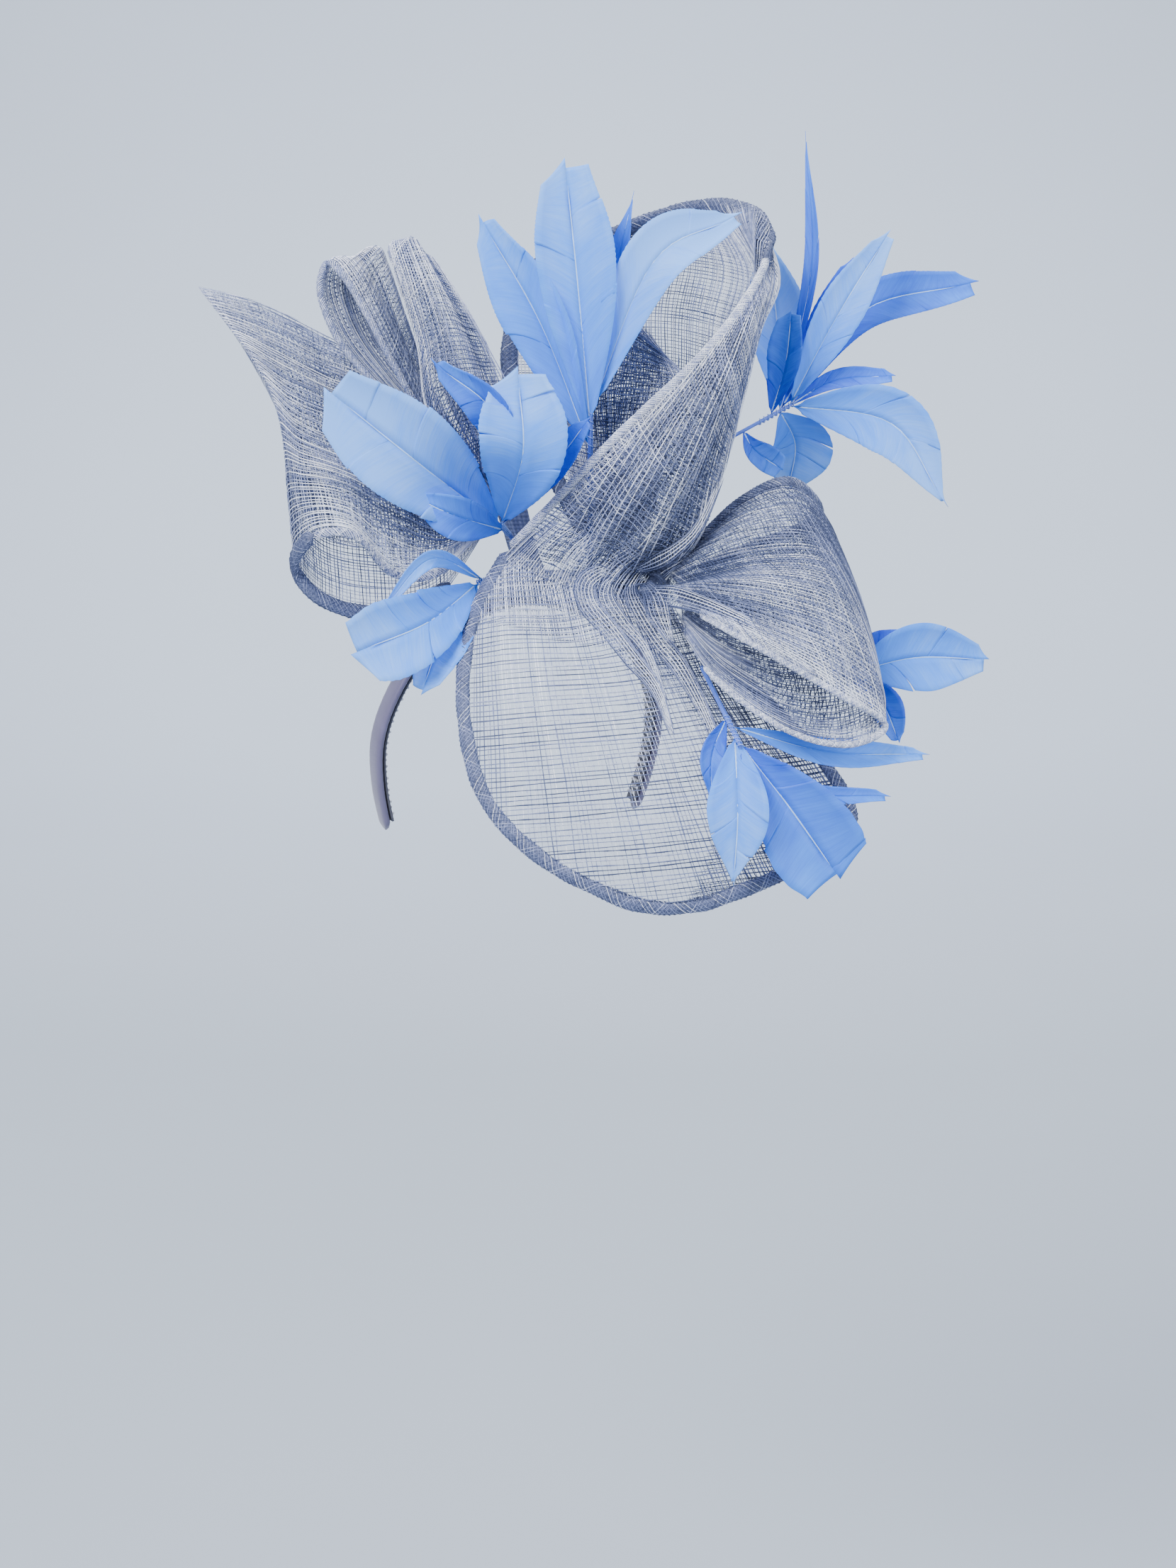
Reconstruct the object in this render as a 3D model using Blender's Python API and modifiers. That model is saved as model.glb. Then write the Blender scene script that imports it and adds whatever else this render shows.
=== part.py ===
"""A swirled sinamay fascinator on a satin headband, with trimmed feather sprays.

The wearer faces -Y. The origin is the head seat, the inside top of the headband. The cloth and the
feathers are laid out in the trim frame, which is turned and tipped from the band: across runs to the
viewer's right, depth away from the viewer, and up along the trim. Tables hold shares of named sizes.
"""

from collections import namedtuple
from math import pi, radians, sin

import bmesh
import bpy
from mathutils import Euler, Matrix, Vector

# The trim frame, turned about the head seat.
TRIM_TURN = radians(-22)
TRIM_TIP = radians(8)

# The headband, in metres.
BAND_HALF_WIDTH = 0.074
BAND_DROP = 0.118
BAND_LEAN = 0.022
BAND_WIDTH = 0.016
BAND_WALL = 0.0040
END_TAPER = 0.35
LINER_WIDTH = 0.011
LINER_WALL = 0.0010
LINER_SHARE = 0.97
TOOTH_HEIGHT = 0.0013
TOOTH_PAIRS = 24

# Walls, rolled edges and gaps.
CLOTH_WALL = 0.0012
FEATHER_WALL = 0.0009
SEAT_GAP = 0.0003
BINDING_RADIUS = 0.0022
HORN_BINDING_RADIUS = 0.0026
LEAF_BINDING_RADIUS = 0.0016
STEM_RADIUS = 0.0018
STEM_REACH = 0.012

# The twist, where the cloth is pinched, and the root of the loops on the left, in the trim frame.
TWIST = Vector((0.061, -0.045, 0.015))
LOOP_ROOT = Vector((-0.011, 0.000, 0.054))

# Each form's own width across, depth and height, which its table's shares follow.
SAUCER_SIZE = Vector((0.200, 0.070, 0.160))
HOOD_SIZE = Vector((0.140, 0.100, 0.200))
FOLD_SIZE = Vector((0.070, 0.060, 0.150))
RIGHT_LOOP_SIZE = Vector((0.120, 0.080, 0.120))
HORN_SIZE = Vector((0.160, 0.080, 0.120))
LEAF_SIZE = Vector((0.090, 0.050, 0.130))
PLEAT_SIZE = Vector((0.060, 0.070, 0.130))

# The pad on the crown, its post to the loops, and the knot over the twist.
PAD_CENTRE = Vector((0.012, -0.012, 0.011))
PAD_RADII = Vector((0.034, 0.034, 0.0085))
ROOT_RADII = Vector((0.015, 0.024, 0.013))
POST_RADIUS = 0.0065
KNOT_RADIUS = 0.0125
KNOT_ROLL = 0.0062
KNOT_DEPTH = -0.0150
ROLL_LENGTH = 0.066
ROLL_RADIUS = 0.0042

# A sheet's normals point away from the viewer on its front panel: its back, or the inside of a loop.
BEHIND = 1
IN_FRONT = -1

Band = namedtuple("Band", "drop half_width lean")
BAND = (
    Band(0.00, 0.00, 0.00), Band(0.03, 0.28, 0.00), Band(0.10, 0.53, 0.02), Band(0.24, 0.78, 0.10),
    Band(0.42, 0.94, 0.28), Band(0.60, 1.00, 0.55), Band(0.80, 0.97, 0.80), Band(1.00, 0.89, 1.00),
)

# A row is one section of a sheet. Its stations are (across, depth, up) from the form's anchor.
Section = namedtuple("Section", "left middle right")
HoodSection = namedtuple("HoodSection", "lip belly fold back rim")
LoopSection = namedtuple("LoopSection", "far middle mouth")

SAUCER = (
    Section((-0.04, -0.93, -1.02), (0.06, -0.96, -1.035), (0.16, -0.93, -1.02)),
    Section((-0.24, -0.84, -0.90), (0.06, -1.07, -0.92), (0.37, -0.79, -0.92)),
    Section((-0.40, -0.69, -0.71), (0.06, -1.10, -0.72), (0.53, -0.53, -0.78)),
    Section((-0.46, -0.50, -0.46), (0.04, -1.03, -0.50), (0.48, -0.36, -0.61)),
    Section((-0.46, -0.24, -0.23), (-0.04, -0.79, -0.30), (0.33, -0.24, -0.40)),
    Section((-0.42, 0.10, -0.06), (-0.12, -0.43, -0.15), (0.16, -0.14, -0.20)),
    Section((-0.345, 0.29, 0.08), (-0.14, -0.10, -0.02), (0.03, 0.00, -0.045)),
)
HOOD = (
    HoodSection((-0.49, 0.21, 0.08), (-0.23, -0.05, 0.00), (0.05, 0.01, -0.02),
                (-0.03, 0.27, 0.05), (-0.20, 0.37, 0.08)),
    HoodSection((-0.31, -0.07, 0.21), (-0.06, -0.29, 0.14), (0.21, -0.05, 0.10),
                (0.03, 0.47, 0.20), (-0.34, 0.57, 0.26)),
    HoodSection((-0.09, -0.25, 0.37), (0.12, -0.43, 0.30), (0.29, -0.05, 0.26),
                (0.09, 0.65, 0.36), (-0.46, 0.69, 0.40)),
    HoodSection((0.17, -0.31, 0.54), (0.28, -0.39, 0.49), (0.36, -0.01, 0.45),
                (0.11, 0.77, 0.54), (-0.51, 0.77, 0.55)),
    HoodSection((0.34, -0.23, 0.68), (0.39, -0.23, 0.66), (0.41, 0.09, 0.63),
                (0.11, 0.83, 0.70), (-0.49, 0.81, 0.69)),
    HoodSection((0.44, -0.05, 0.80), (0.46, 0.01, 0.79), (0.47, 0.21, 0.78),
                (0.14, 0.83, 0.84), (-0.41, 0.81, 0.82)),
    HoodSection((0.47, 0.17, 0.88), (0.43, 0.31, 0.94), (0.31, 0.45, 0.97),
                (0.11, 0.63, 0.96), (-0.20, 0.73, 0.88)),
)
INNER_FOLD = (
    Section((-0.48, 0.42, 0.26), (-0.25, 0.10, 0.18), (0.02, -0.45, 0.12)),
    Section((-0.65, 0.70, 0.48), (-0.31, 0.35, 0.45), (0.18, -0.12, 0.42)),
    Section((-0.72, 0.85, 0.72), (-0.34, 0.45, 0.70), (0.33, -0.18, 0.65)),
    Section((-0.62, 0.88, 0.96), (-0.24, 0.60, 0.98), (0.12, -0.05, 0.78)),
)
RIGHT_LOOP = (
    LoopSection((0.14, 0.05, 0.01), (0.14, -0.15, -0.04), (0.14, -0.25, -0.10)),
    LoopSection((0.24, 0.15, 0.16), (0.26, -0.50, -0.02), (0.27, -0.68, -0.17)),
    LoopSection((0.43, 0.12, 0.34), (0.50, -0.72, 0.00), (0.52, -0.92, -0.31)),
    LoopSection((0.63, 0.12, 0.42), (0.77, -0.62, -0.03), (0.81, -0.92, -0.48)),
    LoopSection((0.77, 0.44, 0.30), (0.93, -0.19, -0.16), (1.01, -0.75, -0.61)),
    LoopSection((0.68, 0.69, 0.21), (0.80, -0.12, -0.26), (0.85, -0.84, -0.69)),
    LoopSection((0.48, 0.62, 0.14), (0.57, -0.34, -0.29), (0.60, -0.91, -0.63)),
    LoopSection((0.27, 0.41, 0.05), (0.34, -0.34, -0.23), (0.31, -0.84, -0.43)),
    LoopSection((0.15, 0.20, -0.03), (0.16, -0.16, -0.12), (0.17, -0.50, -0.24)),
)
HORN = (
    LoopSection((-0.03, 0.06, 0.06), (-0.03, -0.06, -0.01), (-0.03, -0.18, -0.07)),
    LoopSection((-0.24, 0.12, 0.35), (-0.20, -0.30, 0.02), (-0.20, -0.50, -0.30)),
    LoopSection((-0.42, 0.14, 0.61), (-0.40, -0.44, 0.22), (-0.35, -0.70, -0.31)),
    LoopSection((-0.60, 0.10, 0.74), (-0.55, -0.45, 0.28), (-0.46, -0.90, -0.15)),
    LoopSection((-0.80, 0.00, 0.87), (-0.67, -0.42, 0.35), (-0.59, -0.88, -0.15)),
    LoopSection((-0.99, -0.15, 0.93), (-0.74, -0.38, 0.43), (-0.665, -0.68, -0.28)),
    LoopSection((-0.85, 0.18, 0.89), (-0.64, -0.02, 0.15), (-0.59, -0.60, -0.42)),
    LoopSection((-0.60, 0.36, 0.72), (-0.47, 0.12, 0.08), (-0.42, -0.48, -0.49)),
    LoopSection((-0.35, 0.36, 0.48), (-0.25, 0.16, 0.02), (-0.22, -0.36, -0.43)),
    LoopSection((-0.04, 0.16, 0.08), (-0.04, 0.12, 0.00), (-0.04, -0.04, -0.08)),
)
LEAF = (
    LoopSection((-0.06, -0.04, 0.01), (-0.07, -0.18, 0.01), (-0.08, -0.32, 0.00)),
    LoopSection((-0.39, -0.12, 0.35), (-0.44, -0.48, 0.33), (-0.50, -0.88, 0.30)),
    LoopSection((-0.57, -0.10, 0.52), (-0.64, -0.52, 0.48), (-0.71, -1.00, 0.45)),
    LoopSection((-0.75, -0.04, 0.71), (-0.84, -0.52, 0.67), (-0.93, -1.00, 0.63)),
    LoopSection((-0.82, -0.04, 0.91), (-0.93, -0.48, 0.86), (-1.04, -0.92, 0.82)),
    LoopSection((-0.72, -0.04, 1.02), (-0.86, -0.44, 0.97), (-1.00, -0.84, 0.94)),
    LoopSection((-0.66, -0.04, 0.94), (-0.77, -0.48, 0.91), (-0.89, -0.92, 0.87)),
    LoopSection((-0.57, -0.06, 0.75), (-0.66, -0.56, 0.74), (-0.76, -1.04, 0.72)),
    LoopSection((-0.48, -0.10, 0.57), (-0.54, -0.60, 0.55), (-0.62, -1.06, 0.54)),
    LoopSection((-0.33, -0.20, 0.34), (-0.38, -0.56, 0.33), (-0.43, -0.90, 0.32)),
    LoopSection((-0.05, -0.04, 0.04), (-0.06, -0.16, 0.04), (-0.07, -0.28, 0.04)),
)
PLEAT = (
    Section((-0.06, -0.26, 0.04), (0.00, -0.28, 0.05), (0.08, -0.24, 0.03)),
    Section((-0.61, -0.71, 0.32), (-0.32, -0.95, 0.35), (0.10, -0.62, 0.38)),
    Section((-0.73, -0.69, 0.60), (-0.46, -0.98, 0.63), (-0.12, -0.58, 0.61)),
    Section((-0.88, -0.58, 0.83), (-0.63, -0.86, 0.85), (-0.35, -0.50, 0.80)),
    Section((-1.00, -0.28, 0.99), (-0.81, -0.40, 1.04), (-0.60, -0.23, 0.97)),
    Section((-0.85, 0.06, 0.82), (-0.61, 0.16, 0.83), (-0.37, 0.03, 0.79)),
    Section((-0.66, 0.12, 0.57), (-0.38, 0.24, 0.58), (-0.13, 0.12, 0.60)),
    Section((-0.40, 0.14, 0.30), (-0.20, 0.24, 0.28), (0.03, 0.12, 0.32)),
    Section((-0.04, 0.10, 0.05), (0.02, 0.14, 0.06), (0.08, 0.10, 0.05)),
)

# A blade leaves its stem at a share of the stem's length, and runs through its middle to its tip.
Blade = namedtuple("Blade", "leaves middle tip width")
Spray = namedtuple("Spray", "name reach root knot blades")
SPRAYS = (
    Spray("feather_spray_left", 0.100, (-0.0030, -0.0020, 0.0300), (-0.0112, -0.0200, 0.0408), (
        Blade(0.9, (-0.42, -0.46, 0.35), (-0.86, -0.62, 0.72), 0.42),
        Blade(1.0, (0.09, -0.56, 0.42), (0.05, -0.60, 0.78), 0.36),
        Blade(0.8, (-0.24, -0.34, 0.06), (-0.46, -0.42, 0.16), 0.20),
        Blade(1.0, (0.00, -0.52, 0.52), (-0.30, -0.58, 0.85), 0.16),
        Blade(1.0, (0.26, -0.40, 0.31), (0.42, -0.56, 0.52), 0.16),
    )),
    Spray("feather_spray_top", 0.120, (0.0340, -0.0240, 0.0100), (0.0340, -0.0540, 0.1020), (
        Blade(0.9, (-0.05, -0.10, 0.48), (-0.10, -0.13, 1.00), 0.28),
        Blade(1.0, (0.28, -0.13, 0.58), (0.63, -0.07, 0.83), 0.21),
        Blade(0.8, (-0.21, -0.05, 0.35), (-0.44, -0.07, 0.75), 0.25),
        Blade(1.0, (0.11, 0.03, 0.58), (0.17, 0.05, 0.86), 0.09),
    )),
    Spray("feather_spray_right_top", 0.130, (0.0920, -0.0100, 0.0790), (0.1376, -0.0080, 0.1040), (
        Blade(0.9, (0.09, 0.06, 0.55), (0.07, 0.12, 1.05), 0.09),
        Blade(1.0, (0.19, -0.05, 0.34), (0.38, -0.09, 0.69), 0.14),
        Blade(1.0, (0.30, 0.11, 0.38), (0.72, 0.14, 0.50), 0.17),
        Blade(0.9, (-0.03, 0.22, 0.28), (-0.07, 0.28, 0.61), 0.18),
        Blade(0.8, (-0.02, -0.05, 0.15), (-0.03, -0.08, 0.35), 0.12),
        Blade(1.0, (0.18, 0.02, 0.07), (0.39, 0.03, 0.09), 0.07),
        Blade(1.0, (0.32, -0.06, -0.08), (0.56, -0.11, -0.34), 0.19),
        Blade(0.9, (0.06, 0.12, -0.15), (0.08, 0.15, -0.30), 0.20),
        Blade(0.5, (-0.14, -0.06, -0.18), (-0.04, -0.08, -0.25), 0.10),
    )),
    Spray("feather_spray_right_mid", 0.070, (0.1470, -0.0720, -0.0270), (0.1668, -0.0500, -0.0352), (
        Blade(0.9, (0.46, 0.00, 0.13), (0.97, 0.06, 0.12), 0.44),
        Blade(1.0, (0.17, 0.09, 0.19), (0.39, 0.17, 0.31), 0.17),
        Blade(1.0, (0.23, -0.14, -0.19), (0.34, -0.23, -0.44), 0.23),
    )),
    Spray("feather_spray_lower_right", 0.090, (0.0900, -0.0740, -0.0288), (0.1080, -0.1190, -0.0660), (
        Blade(0.9, (-0.01, -0.12, -0.38), (-0.03, -0.14, -0.73), 0.30),
        Blade(0.7, (-0.15, -0.02, -0.07), (-0.15, -0.06, -0.30), 0.13),
        Blade(1.0, (0.28, -0.03, -0.33), (0.59, 0.00, -0.72), 0.46),
        Blade(0.8, (0.50, 0.20, -0.06), (1.01, 0.32, -0.08), 0.15),
        Blade(1.0, (0.41, 0.18, -0.28), (0.80, 0.26, -0.31), 0.09),
    )),
    Spray("feather_spray_lower_left", 0.070, (-0.0005, -0.0020, 0.0200), (-0.0224, -0.0230, 0.0128), (
        Blade(1.0, (-0.38, -0.60, -0.29), (-0.84, -0.80, -0.48), 0.52),
        Blade(0.9, (-0.36, -0.56, 0.17), (-0.74, -0.66, -0.25), 0.12),
        Blade(1.0, (-0.32, -0.46, -0.36), (-0.44, -0.68, -0.66), 0.28),
    )),
)

# Colours in linear light, read by eye.
SINAMAY_COLOUR = (0.16, 0.20, 0.30, 1.0)
BINDING_COLOUR = (0.07, 0.10, 0.19, 1.0)
FEATHER_COLOUR = (0.16, 0.36, 0.88, 1.0)
SATIN_COLOUR = (0.26, 0.25, 0.36, 1.0)
LINER_COLOUR = (0.10, 0.10, 0.13, 1.0)


def clear_scene():
    for old in list(bpy.data.objects):
        bpy.data.objects.remove(old)


def collection_named(name):
    made = bpy.data.collections.new(name)
    bpy.context.scene.collection.children.link(made)
    return made


def material_for(name, colour, roughness):
    made = bpy.data.materials.new(name)
    made.use_nodes = True
    shader = made.node_tree.nodes["Principled BSDF"]
    shader.inputs["Base Color"].default_value = colour
    shader.inputs["Roughness"].default_value = roughness
    shader.inputs["Metallic"].default_value = 0.0
    return made


def new_object(name, mesh, colour, roughness, parent=None):
    made = bpy.data.objects.new(name, mesh)
    parts.objects.link(made)
    made.parent = parent
    mesh.materials.append(material_for(name + "_finish", colour, roughness))
    mesh.shade_smooth()
    return made


def as_cutter(made):
    """Moves a helper out of the parts and out of the render."""
    parts.objects.unlink(made)
    cutters.objects.link(made)
    made.hide_render = True
    made.display_type = "WIRE"
    return made


def smooth_through(points, share):
    """The point at a share of the way along a smooth curve through the points."""
    place = min(max(share, 0.0), 1.0) * (len(points) - 1)
    first = min(int(place), len(points) - 2)
    t = place - first
    b = points[first]
    c = points[first + 1]
    a = points[first - 1] if first > 0 else b * 2 - c
    d = points[first + 2] if first + 2 < len(points) else c * 2 - b
    bend = (a * 2 - b * 5 + c * 4 - d) * t * t + (b * 3 - a - c * 3 + d) * t * t * t
    return (b * 2 + (c - a) * t + bend) * 0.5


def placed_rows(table, size, anchor):
    return [[anchor + Vector(cell) * size for cell in row] for row in table]


def on_sheet(rows, along, across):
    return smooth_through([smooth_through(row, across) for row in rows], along)


def sheet_mesh(name, point_at, cells_along, cells_across):
    """An open grid whose points are put where point_at(along, across) says, both from 0 to 1."""
    bm = bmesh.new()
    bmesh.ops.create_grid(bm, x_segments=cells_along, y_segments=cells_across, size=0.5)
    for vert in bm.verts:
        vert.co = point_at(vert.co.x + 0.5, vert.co.y + 0.5)
    mesh = bpy.data.meshes.new(name)
    bm.to_mesh(mesh)
    bm.free()
    return mesh


def thicken(made, wall, side=0.0):
    """Gives a sheet its wall, half to each side of it, or all to the side that 1 or -1 names."""
    solid = made.modifiers.new("wall", "SOLIDIFY")
    solid.thickness = wall
    solid.offset = side
    solid.use_even_offset = False


def cloth(name, rows, cells_along, cells_across):
    mesh = sheet_mesh(name, lambda along, across: on_sheet(rows, along, across), cells_along, cells_across)
    made = new_object(name, mesh, SINAMAY_COLOUR, 0.55, trim)
    thicken(made, CLOTH_WALL)
    return made


def far_copy(sheet, side, reach):
    """A cutter that stands off a sheet by the gap, and reaches far to one side of it."""
    made = new_object(sheet.name + "_far", sheet.data.copy(), SINAMAY_COLOUR, 0.5, trim)
    near = CLOTH_WALL / 2 + SEAT_GAP
    thicken(made, reach, side * (1 - 2 * near / reach))
    return as_cutter(made)


def clear_copy(made):
    """A cutter that is a body swollen by the gap."""
    graph = bpy.context.evaluated_depsgraph_get()
    mesh = bpy.data.meshes.new_from_object(made.evaluated_get(graph))
    copy = new_object(made.name + "_clear", mesh, SINAMAY_COLOUR, 0.5, made.parent)
    swell = copy.modifiers.new("gap", "DISPLACE")
    swell.strength = SEAT_GAP
    swell.mid_level = 0.0
    return as_cutter(copy)


def tube(name, path, radius, colour, sides=1, taper=None):
    """A mesh tube along a path of points, with capped ends."""
    curve = bpy.data.curves.new(name, "CURVE")
    curve.dimensions = "3D"
    curve.bevel_depth = radius
    curve.bevel_resolution = sides
    curve.use_fill_caps = True
    spline = curve.splines.new("POLY")
    spline.points.add(len(path) - 1)
    for index, point in enumerate(path):
        spline.points[index].co = (*point, 1.0)
        spline.points[index].radius = taper(index / (len(path) - 1)) if taper else 1.0
    holder = bpy.data.objects.new(name + "_curve", curve)
    parts.objects.link(holder)
    graph = bpy.context.evaluated_depsgraph_get()
    mesh = bpy.data.meshes.new_from_object(holder.evaluated_get(graph))
    bpy.data.objects.remove(holder)
    bm = bmesh.new()
    bm.from_mesh(mesh)
    bmesh.ops.remove_doubles(bm, verts=bm.verts, dist=0.00002)
    bm.to_mesh(mesh)
    bm.free()
    mesh.materials.clear()
    return new_object(name, mesh, colour, 0.6, trim)


def settle(made):
    """Applies the modifiers by taking the evaluated mesh."""
    graph = bpy.context.evaluated_depsgraph_get()
    mesh = bpy.data.meshes.new_from_object(made.evaluated_get(graph))
    made.modifiers.clear()
    made.data = mesh
    return made


def boolean(made, other, operation="DIFFERENCE"):
    cut = made.modifiers.new("trim", "BOOLEAN")
    cut.operation = operation
    cut.object = other
    return made


def fuse(made, others):
    """One body of an object and others that run into it."""
    for other in others:
        settle(boolean(made, other, "UNION"))
        bpy.data.objects.remove(other)
    return made


def edge_path(rows, corners, steps):
    """Points along a sheet's edge, through corners given as (along, across), with steps to each side."""
    path = []
    for start, end in zip(corners, corners[1:]):
        for step in range(steps):
            here = Vector(start).lerp(Vector(end), step / steps)
            path.append(on_sheet(rows, here.x, here.y))
    path.append(on_sheet(rows, *corners[-1]))
    return path


def make_binding(name, sheet, path, radius):
    """A rolled strip along an edge of a sheet, which is cut back to clear it."""
    made = tube(name, path, radius, BINDING_COLOUR)
    first = path[0] + (path[0] - path[1]).normalized() * SEAT_GAP
    last = path[-1] + (path[-1] - path[-2]).normalized() * SEAT_GAP
    longer = [first] + path[1:-1] + [last]
    boolean(sheet, as_cutter(tube(name + "_clear", longer, radius + SEAT_GAP, BINDING_COLOUR)))
    return made


def band_point(share, across, lift):
    """A point of the band: share from -1 to 1 between its ends, across its width, lift outwards."""
    size = Vector((BAND_HALF_WIDTH, BAND_LEAN, BAND_DROP))
    right = [Vector((row.half_width, row.lean, -row.drop)) * size for row in BAND]
    arch = [Vector((-point.x, point.y, point.z)) for point in reversed(right[1:])] + right
    place = (share + 1) / 2
    here = smooth_through(arch, place)
    step = smooth_through(arch, place + 0.01) - smooth_through(arch, place - 0.01)
    outward = Vector((-step.z, 0.0, step.x)).normalized()
    return here + outward * lift + Vector((0.0, across, 0.0))


def make_headband():
    inside = LINER_WALL + TOOTH_HEIGHT + 2 * SEAT_GAP

    def at(along, across):
        share = along * 2 - 1
        width = BAND_WIDTH * (1 - END_TAPER * abs(share) ** 6)
        return band_point(share, (across - 0.5) * width, inside + BAND_WALL / 2)
    made = new_object("headband", sheet_mesh("headband", at, 28, 2), SATIN_COLOUR, 0.35)
    thicken(made, BAND_WALL)
    rounded = made.modifiers.new("edges", "BEVEL")
    rounded.width = BAND_WALL * 0.3
    rounded.segments = 1
    rounded.limit_method = "ANGLE"
    return made


def make_comb_liner():
    """A strip inside the band, folded into rows of teeth that point at the head."""
    rows = TOOTH_PAIRS * 2

    def at(along, across):
        row = round(along * rows)
        lift = LINER_WALL / 2 + TOOTH_HEIGHT * (row % 2)
        return band_point((along * 2 - 1) * LINER_SHARE, (across - 0.5) * LINER_WIDTH, lift)
    made = new_object("comb_liner", sheet_mesh("comb_liner", at, rows, 1), LINER_COLOUR, 0.7)
    thicken(made, LINER_WALL)
    return made


def ball(name, centre, radii, segments=14, rings=8):
    bm = bmesh.new()
    bmesh.ops.create_uvsphere(bm, u_segments=segments, v_segments=rings, radius=1.0)
    for vert in bm.verts:
        vert.co = centre + vert.co * radii
    mesh = bpy.data.meshes.new(name)
    bm.to_mesh(mesh)
    bm.free()
    return new_object(name, mesh, SINAMAY_COLOUR, 0.6, trim)


def make_mounting_pad(headband, saucer, hood):
    """An oval pad on the crown, with a post to the root of the loops on the left."""
    pad = ball("mounting_pad", PAD_CENTRE, PAD_RADII, 20, 8)
    foot = PAD_CENTRE + Vector((-0.25, 0.35, 0.0)) * PAD_RADII.x
    post = tube("post", [foot, LOOP_ROOT], POST_RADIUS, SINAMAY_COLOUR, 2)
    fuse(pad, [ball("loop_root", LOOP_ROOT, ROOT_RADII), post])
    boolean(pad, clear_copy(headband))
    boolean(pad, far_copy(saucer, IN_FRONT, PAD_RADII.y))
    boolean(pad, clear_copy(hood))
    return settle(pad)


def make_twist_knot(saucer, hood, right_loop):
    """A ring of gathers over the twist, with the rolled pleat that runs down from it."""
    centre = TWIST + Vector((0.0, KNOT_DEPTH, 0.0))
    bpy.ops.mesh.primitive_torus_add(
        major_segments=16, minor_segments=6, major_radius=KNOT_RADIUS, minor_radius=KNOT_ROLL,
        rotation=(pi / 2, 0.0, 0.0),
    )
    ring = bpy.context.object
    mesh = ring.data.copy()
    mesh.transform(Matrix.Translation(centre) @ ring.matrix_world.to_3x3().to_4x4())
    bpy.data.objects.remove(ring)
    knot = new_object("twist_knot", mesh, SINAMAY_COLOUR, 0.55, trim)
    middle = TWIST + Vector((0.16, -0.62, -0.46)) * ROLL_LENGTH
    end = TWIST + Vector((0.42, -0.82, -0.90)) * ROLL_LENGTH
    path = [smooth_through([centre, middle, end], index / 8) for index in range(9)]
    roll = tube("roll", path, ROLL_RADIUS, SINAMAY_COLOUR, 1, lambda share: 1.1 - 0.6 * share)
    core = ball("core", centre, Vector((KNOT_RADIUS, KNOT_ROLL, KNOT_RADIUS)), 12, 6)
    fuse(knot, [core, roll])
    for sheet in (saucer, hood):
        boolean(knot, far_copy(sheet, BEHIND, KNOT_RADIUS * 2))
    return boolean(knot, clear_copy(right_loop))


def blade_point(points, width, along, across):
    """A trimmed blade: widest past its middle, cupped along its quill, with a blunt tip."""
    here = smooth_through(points, along)
    ahead = (smooth_through(points, along + 0.02) - smooth_through(points, along - 0.02)).normalized()
    side = ahead.cross(Vector((0.0, 1.0, 0.0))).normalized()
    half = width / 2 * (0.10 + 0.90 * sin(pi * (0.04 + 0.90 * along) ** 1.15) ** 0.8)
    out = across * 2 - 1
    return here + side * out * half + Vector((0.0, abs(out) * half * 0.25, 0.0))


def make_spray(spray, seat):
    """A stem that rises from its seat, with its blades fused to it. The seat is a cutter."""
    root = Vector(spray.root)
    knot = Vector(spray.knot)
    bow = (root + knot) / 2 + Vector((0.0, -0.1, 0.0)) * (knot - root).length
    past = knot + (knot - bow).normalized() * STEM_RADIUS * 2
    spine = [root, bow, past]
    path = [smooth_through(spine, index / 5) for index in range(6)]
    stem = tube(spray.name, path, STEM_RADIUS, FEATHER_COLOUR)
    blades = []
    for blade in spray.blades:
        start = smooth_through(spine, blade.leaves * 0.94)
        points = [start, knot + Vector(blade.middle) * spray.reach, knot + Vector(blade.tip) * spray.reach]
        width = blade.width * spray.reach
        mesh = sheet_mesh("blade", lambda along, across: blade_point(points, width, along, across), 5, 2)
        made = new_object("blade", mesh, FEATHER_COLOUR, 0.5, trim)
        thicken(made, FEATHER_WALL)
        blades.append(settle(made))
    return boolean(fuse(stem, blades), seat)


clear_scene()
parts = collection_named("fascinator")
cutters = collection_named("cutters")
trim = bpy.data.objects.new("trim", None)
parts.objects.link(trim)
trim.rotation_euler = Euler((-TRIM_TIP, 0.0, TRIM_TURN))

saucer_rows = placed_rows(SAUCER, SAUCER_SIZE, TWIST)
hood_rows = placed_rows(HOOD, HOOD_SIZE, TWIST)
loop_rows = placed_rows(RIGHT_LOOP, RIGHT_LOOP_SIZE, TWIST)
horn_rows = placed_rows(HORN, HORN_SIZE, LOOP_ROOT)
leaf_rows = placed_rows(LEAF, LEAF_SIZE, LOOP_ROOT)

saucer = cloth("saucer", saucer_rows, 12, 9)
hood = cloth("hood", hood_rows, 13, 12)
inner_fold = cloth("inner_fold", placed_rows(INNER_FOLD, FOLD_SIZE, TWIST), 7, 5)
right_loop = cloth("right_loop", loop_rows, 16, 6)
horn_loop = cloth("horn_loop", horn_rows, 18, 6)
leaf_loop = cloth("leaf_loop", leaf_rows, 18, 3)
pleat_loop = cloth("pleat_loop", placed_rows(PLEAT, PLEAT_SIZE, LOOP_ROOT), 16, 5)

boolean(inner_fold, far_copy(hood, IN_FRONT, STEM_REACH))

headband = make_headband()
make_comb_liner()
mounting_pad = make_mounting_pad(headband, saucer, hood)
make_twist_knot(saucer, hood, right_loop)
pad_clear = clear_copy(mounting_pad)
for loop in (horn_loop, leaf_loop, pleat_loop):
    boolean(loop, pad_clear)

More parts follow.
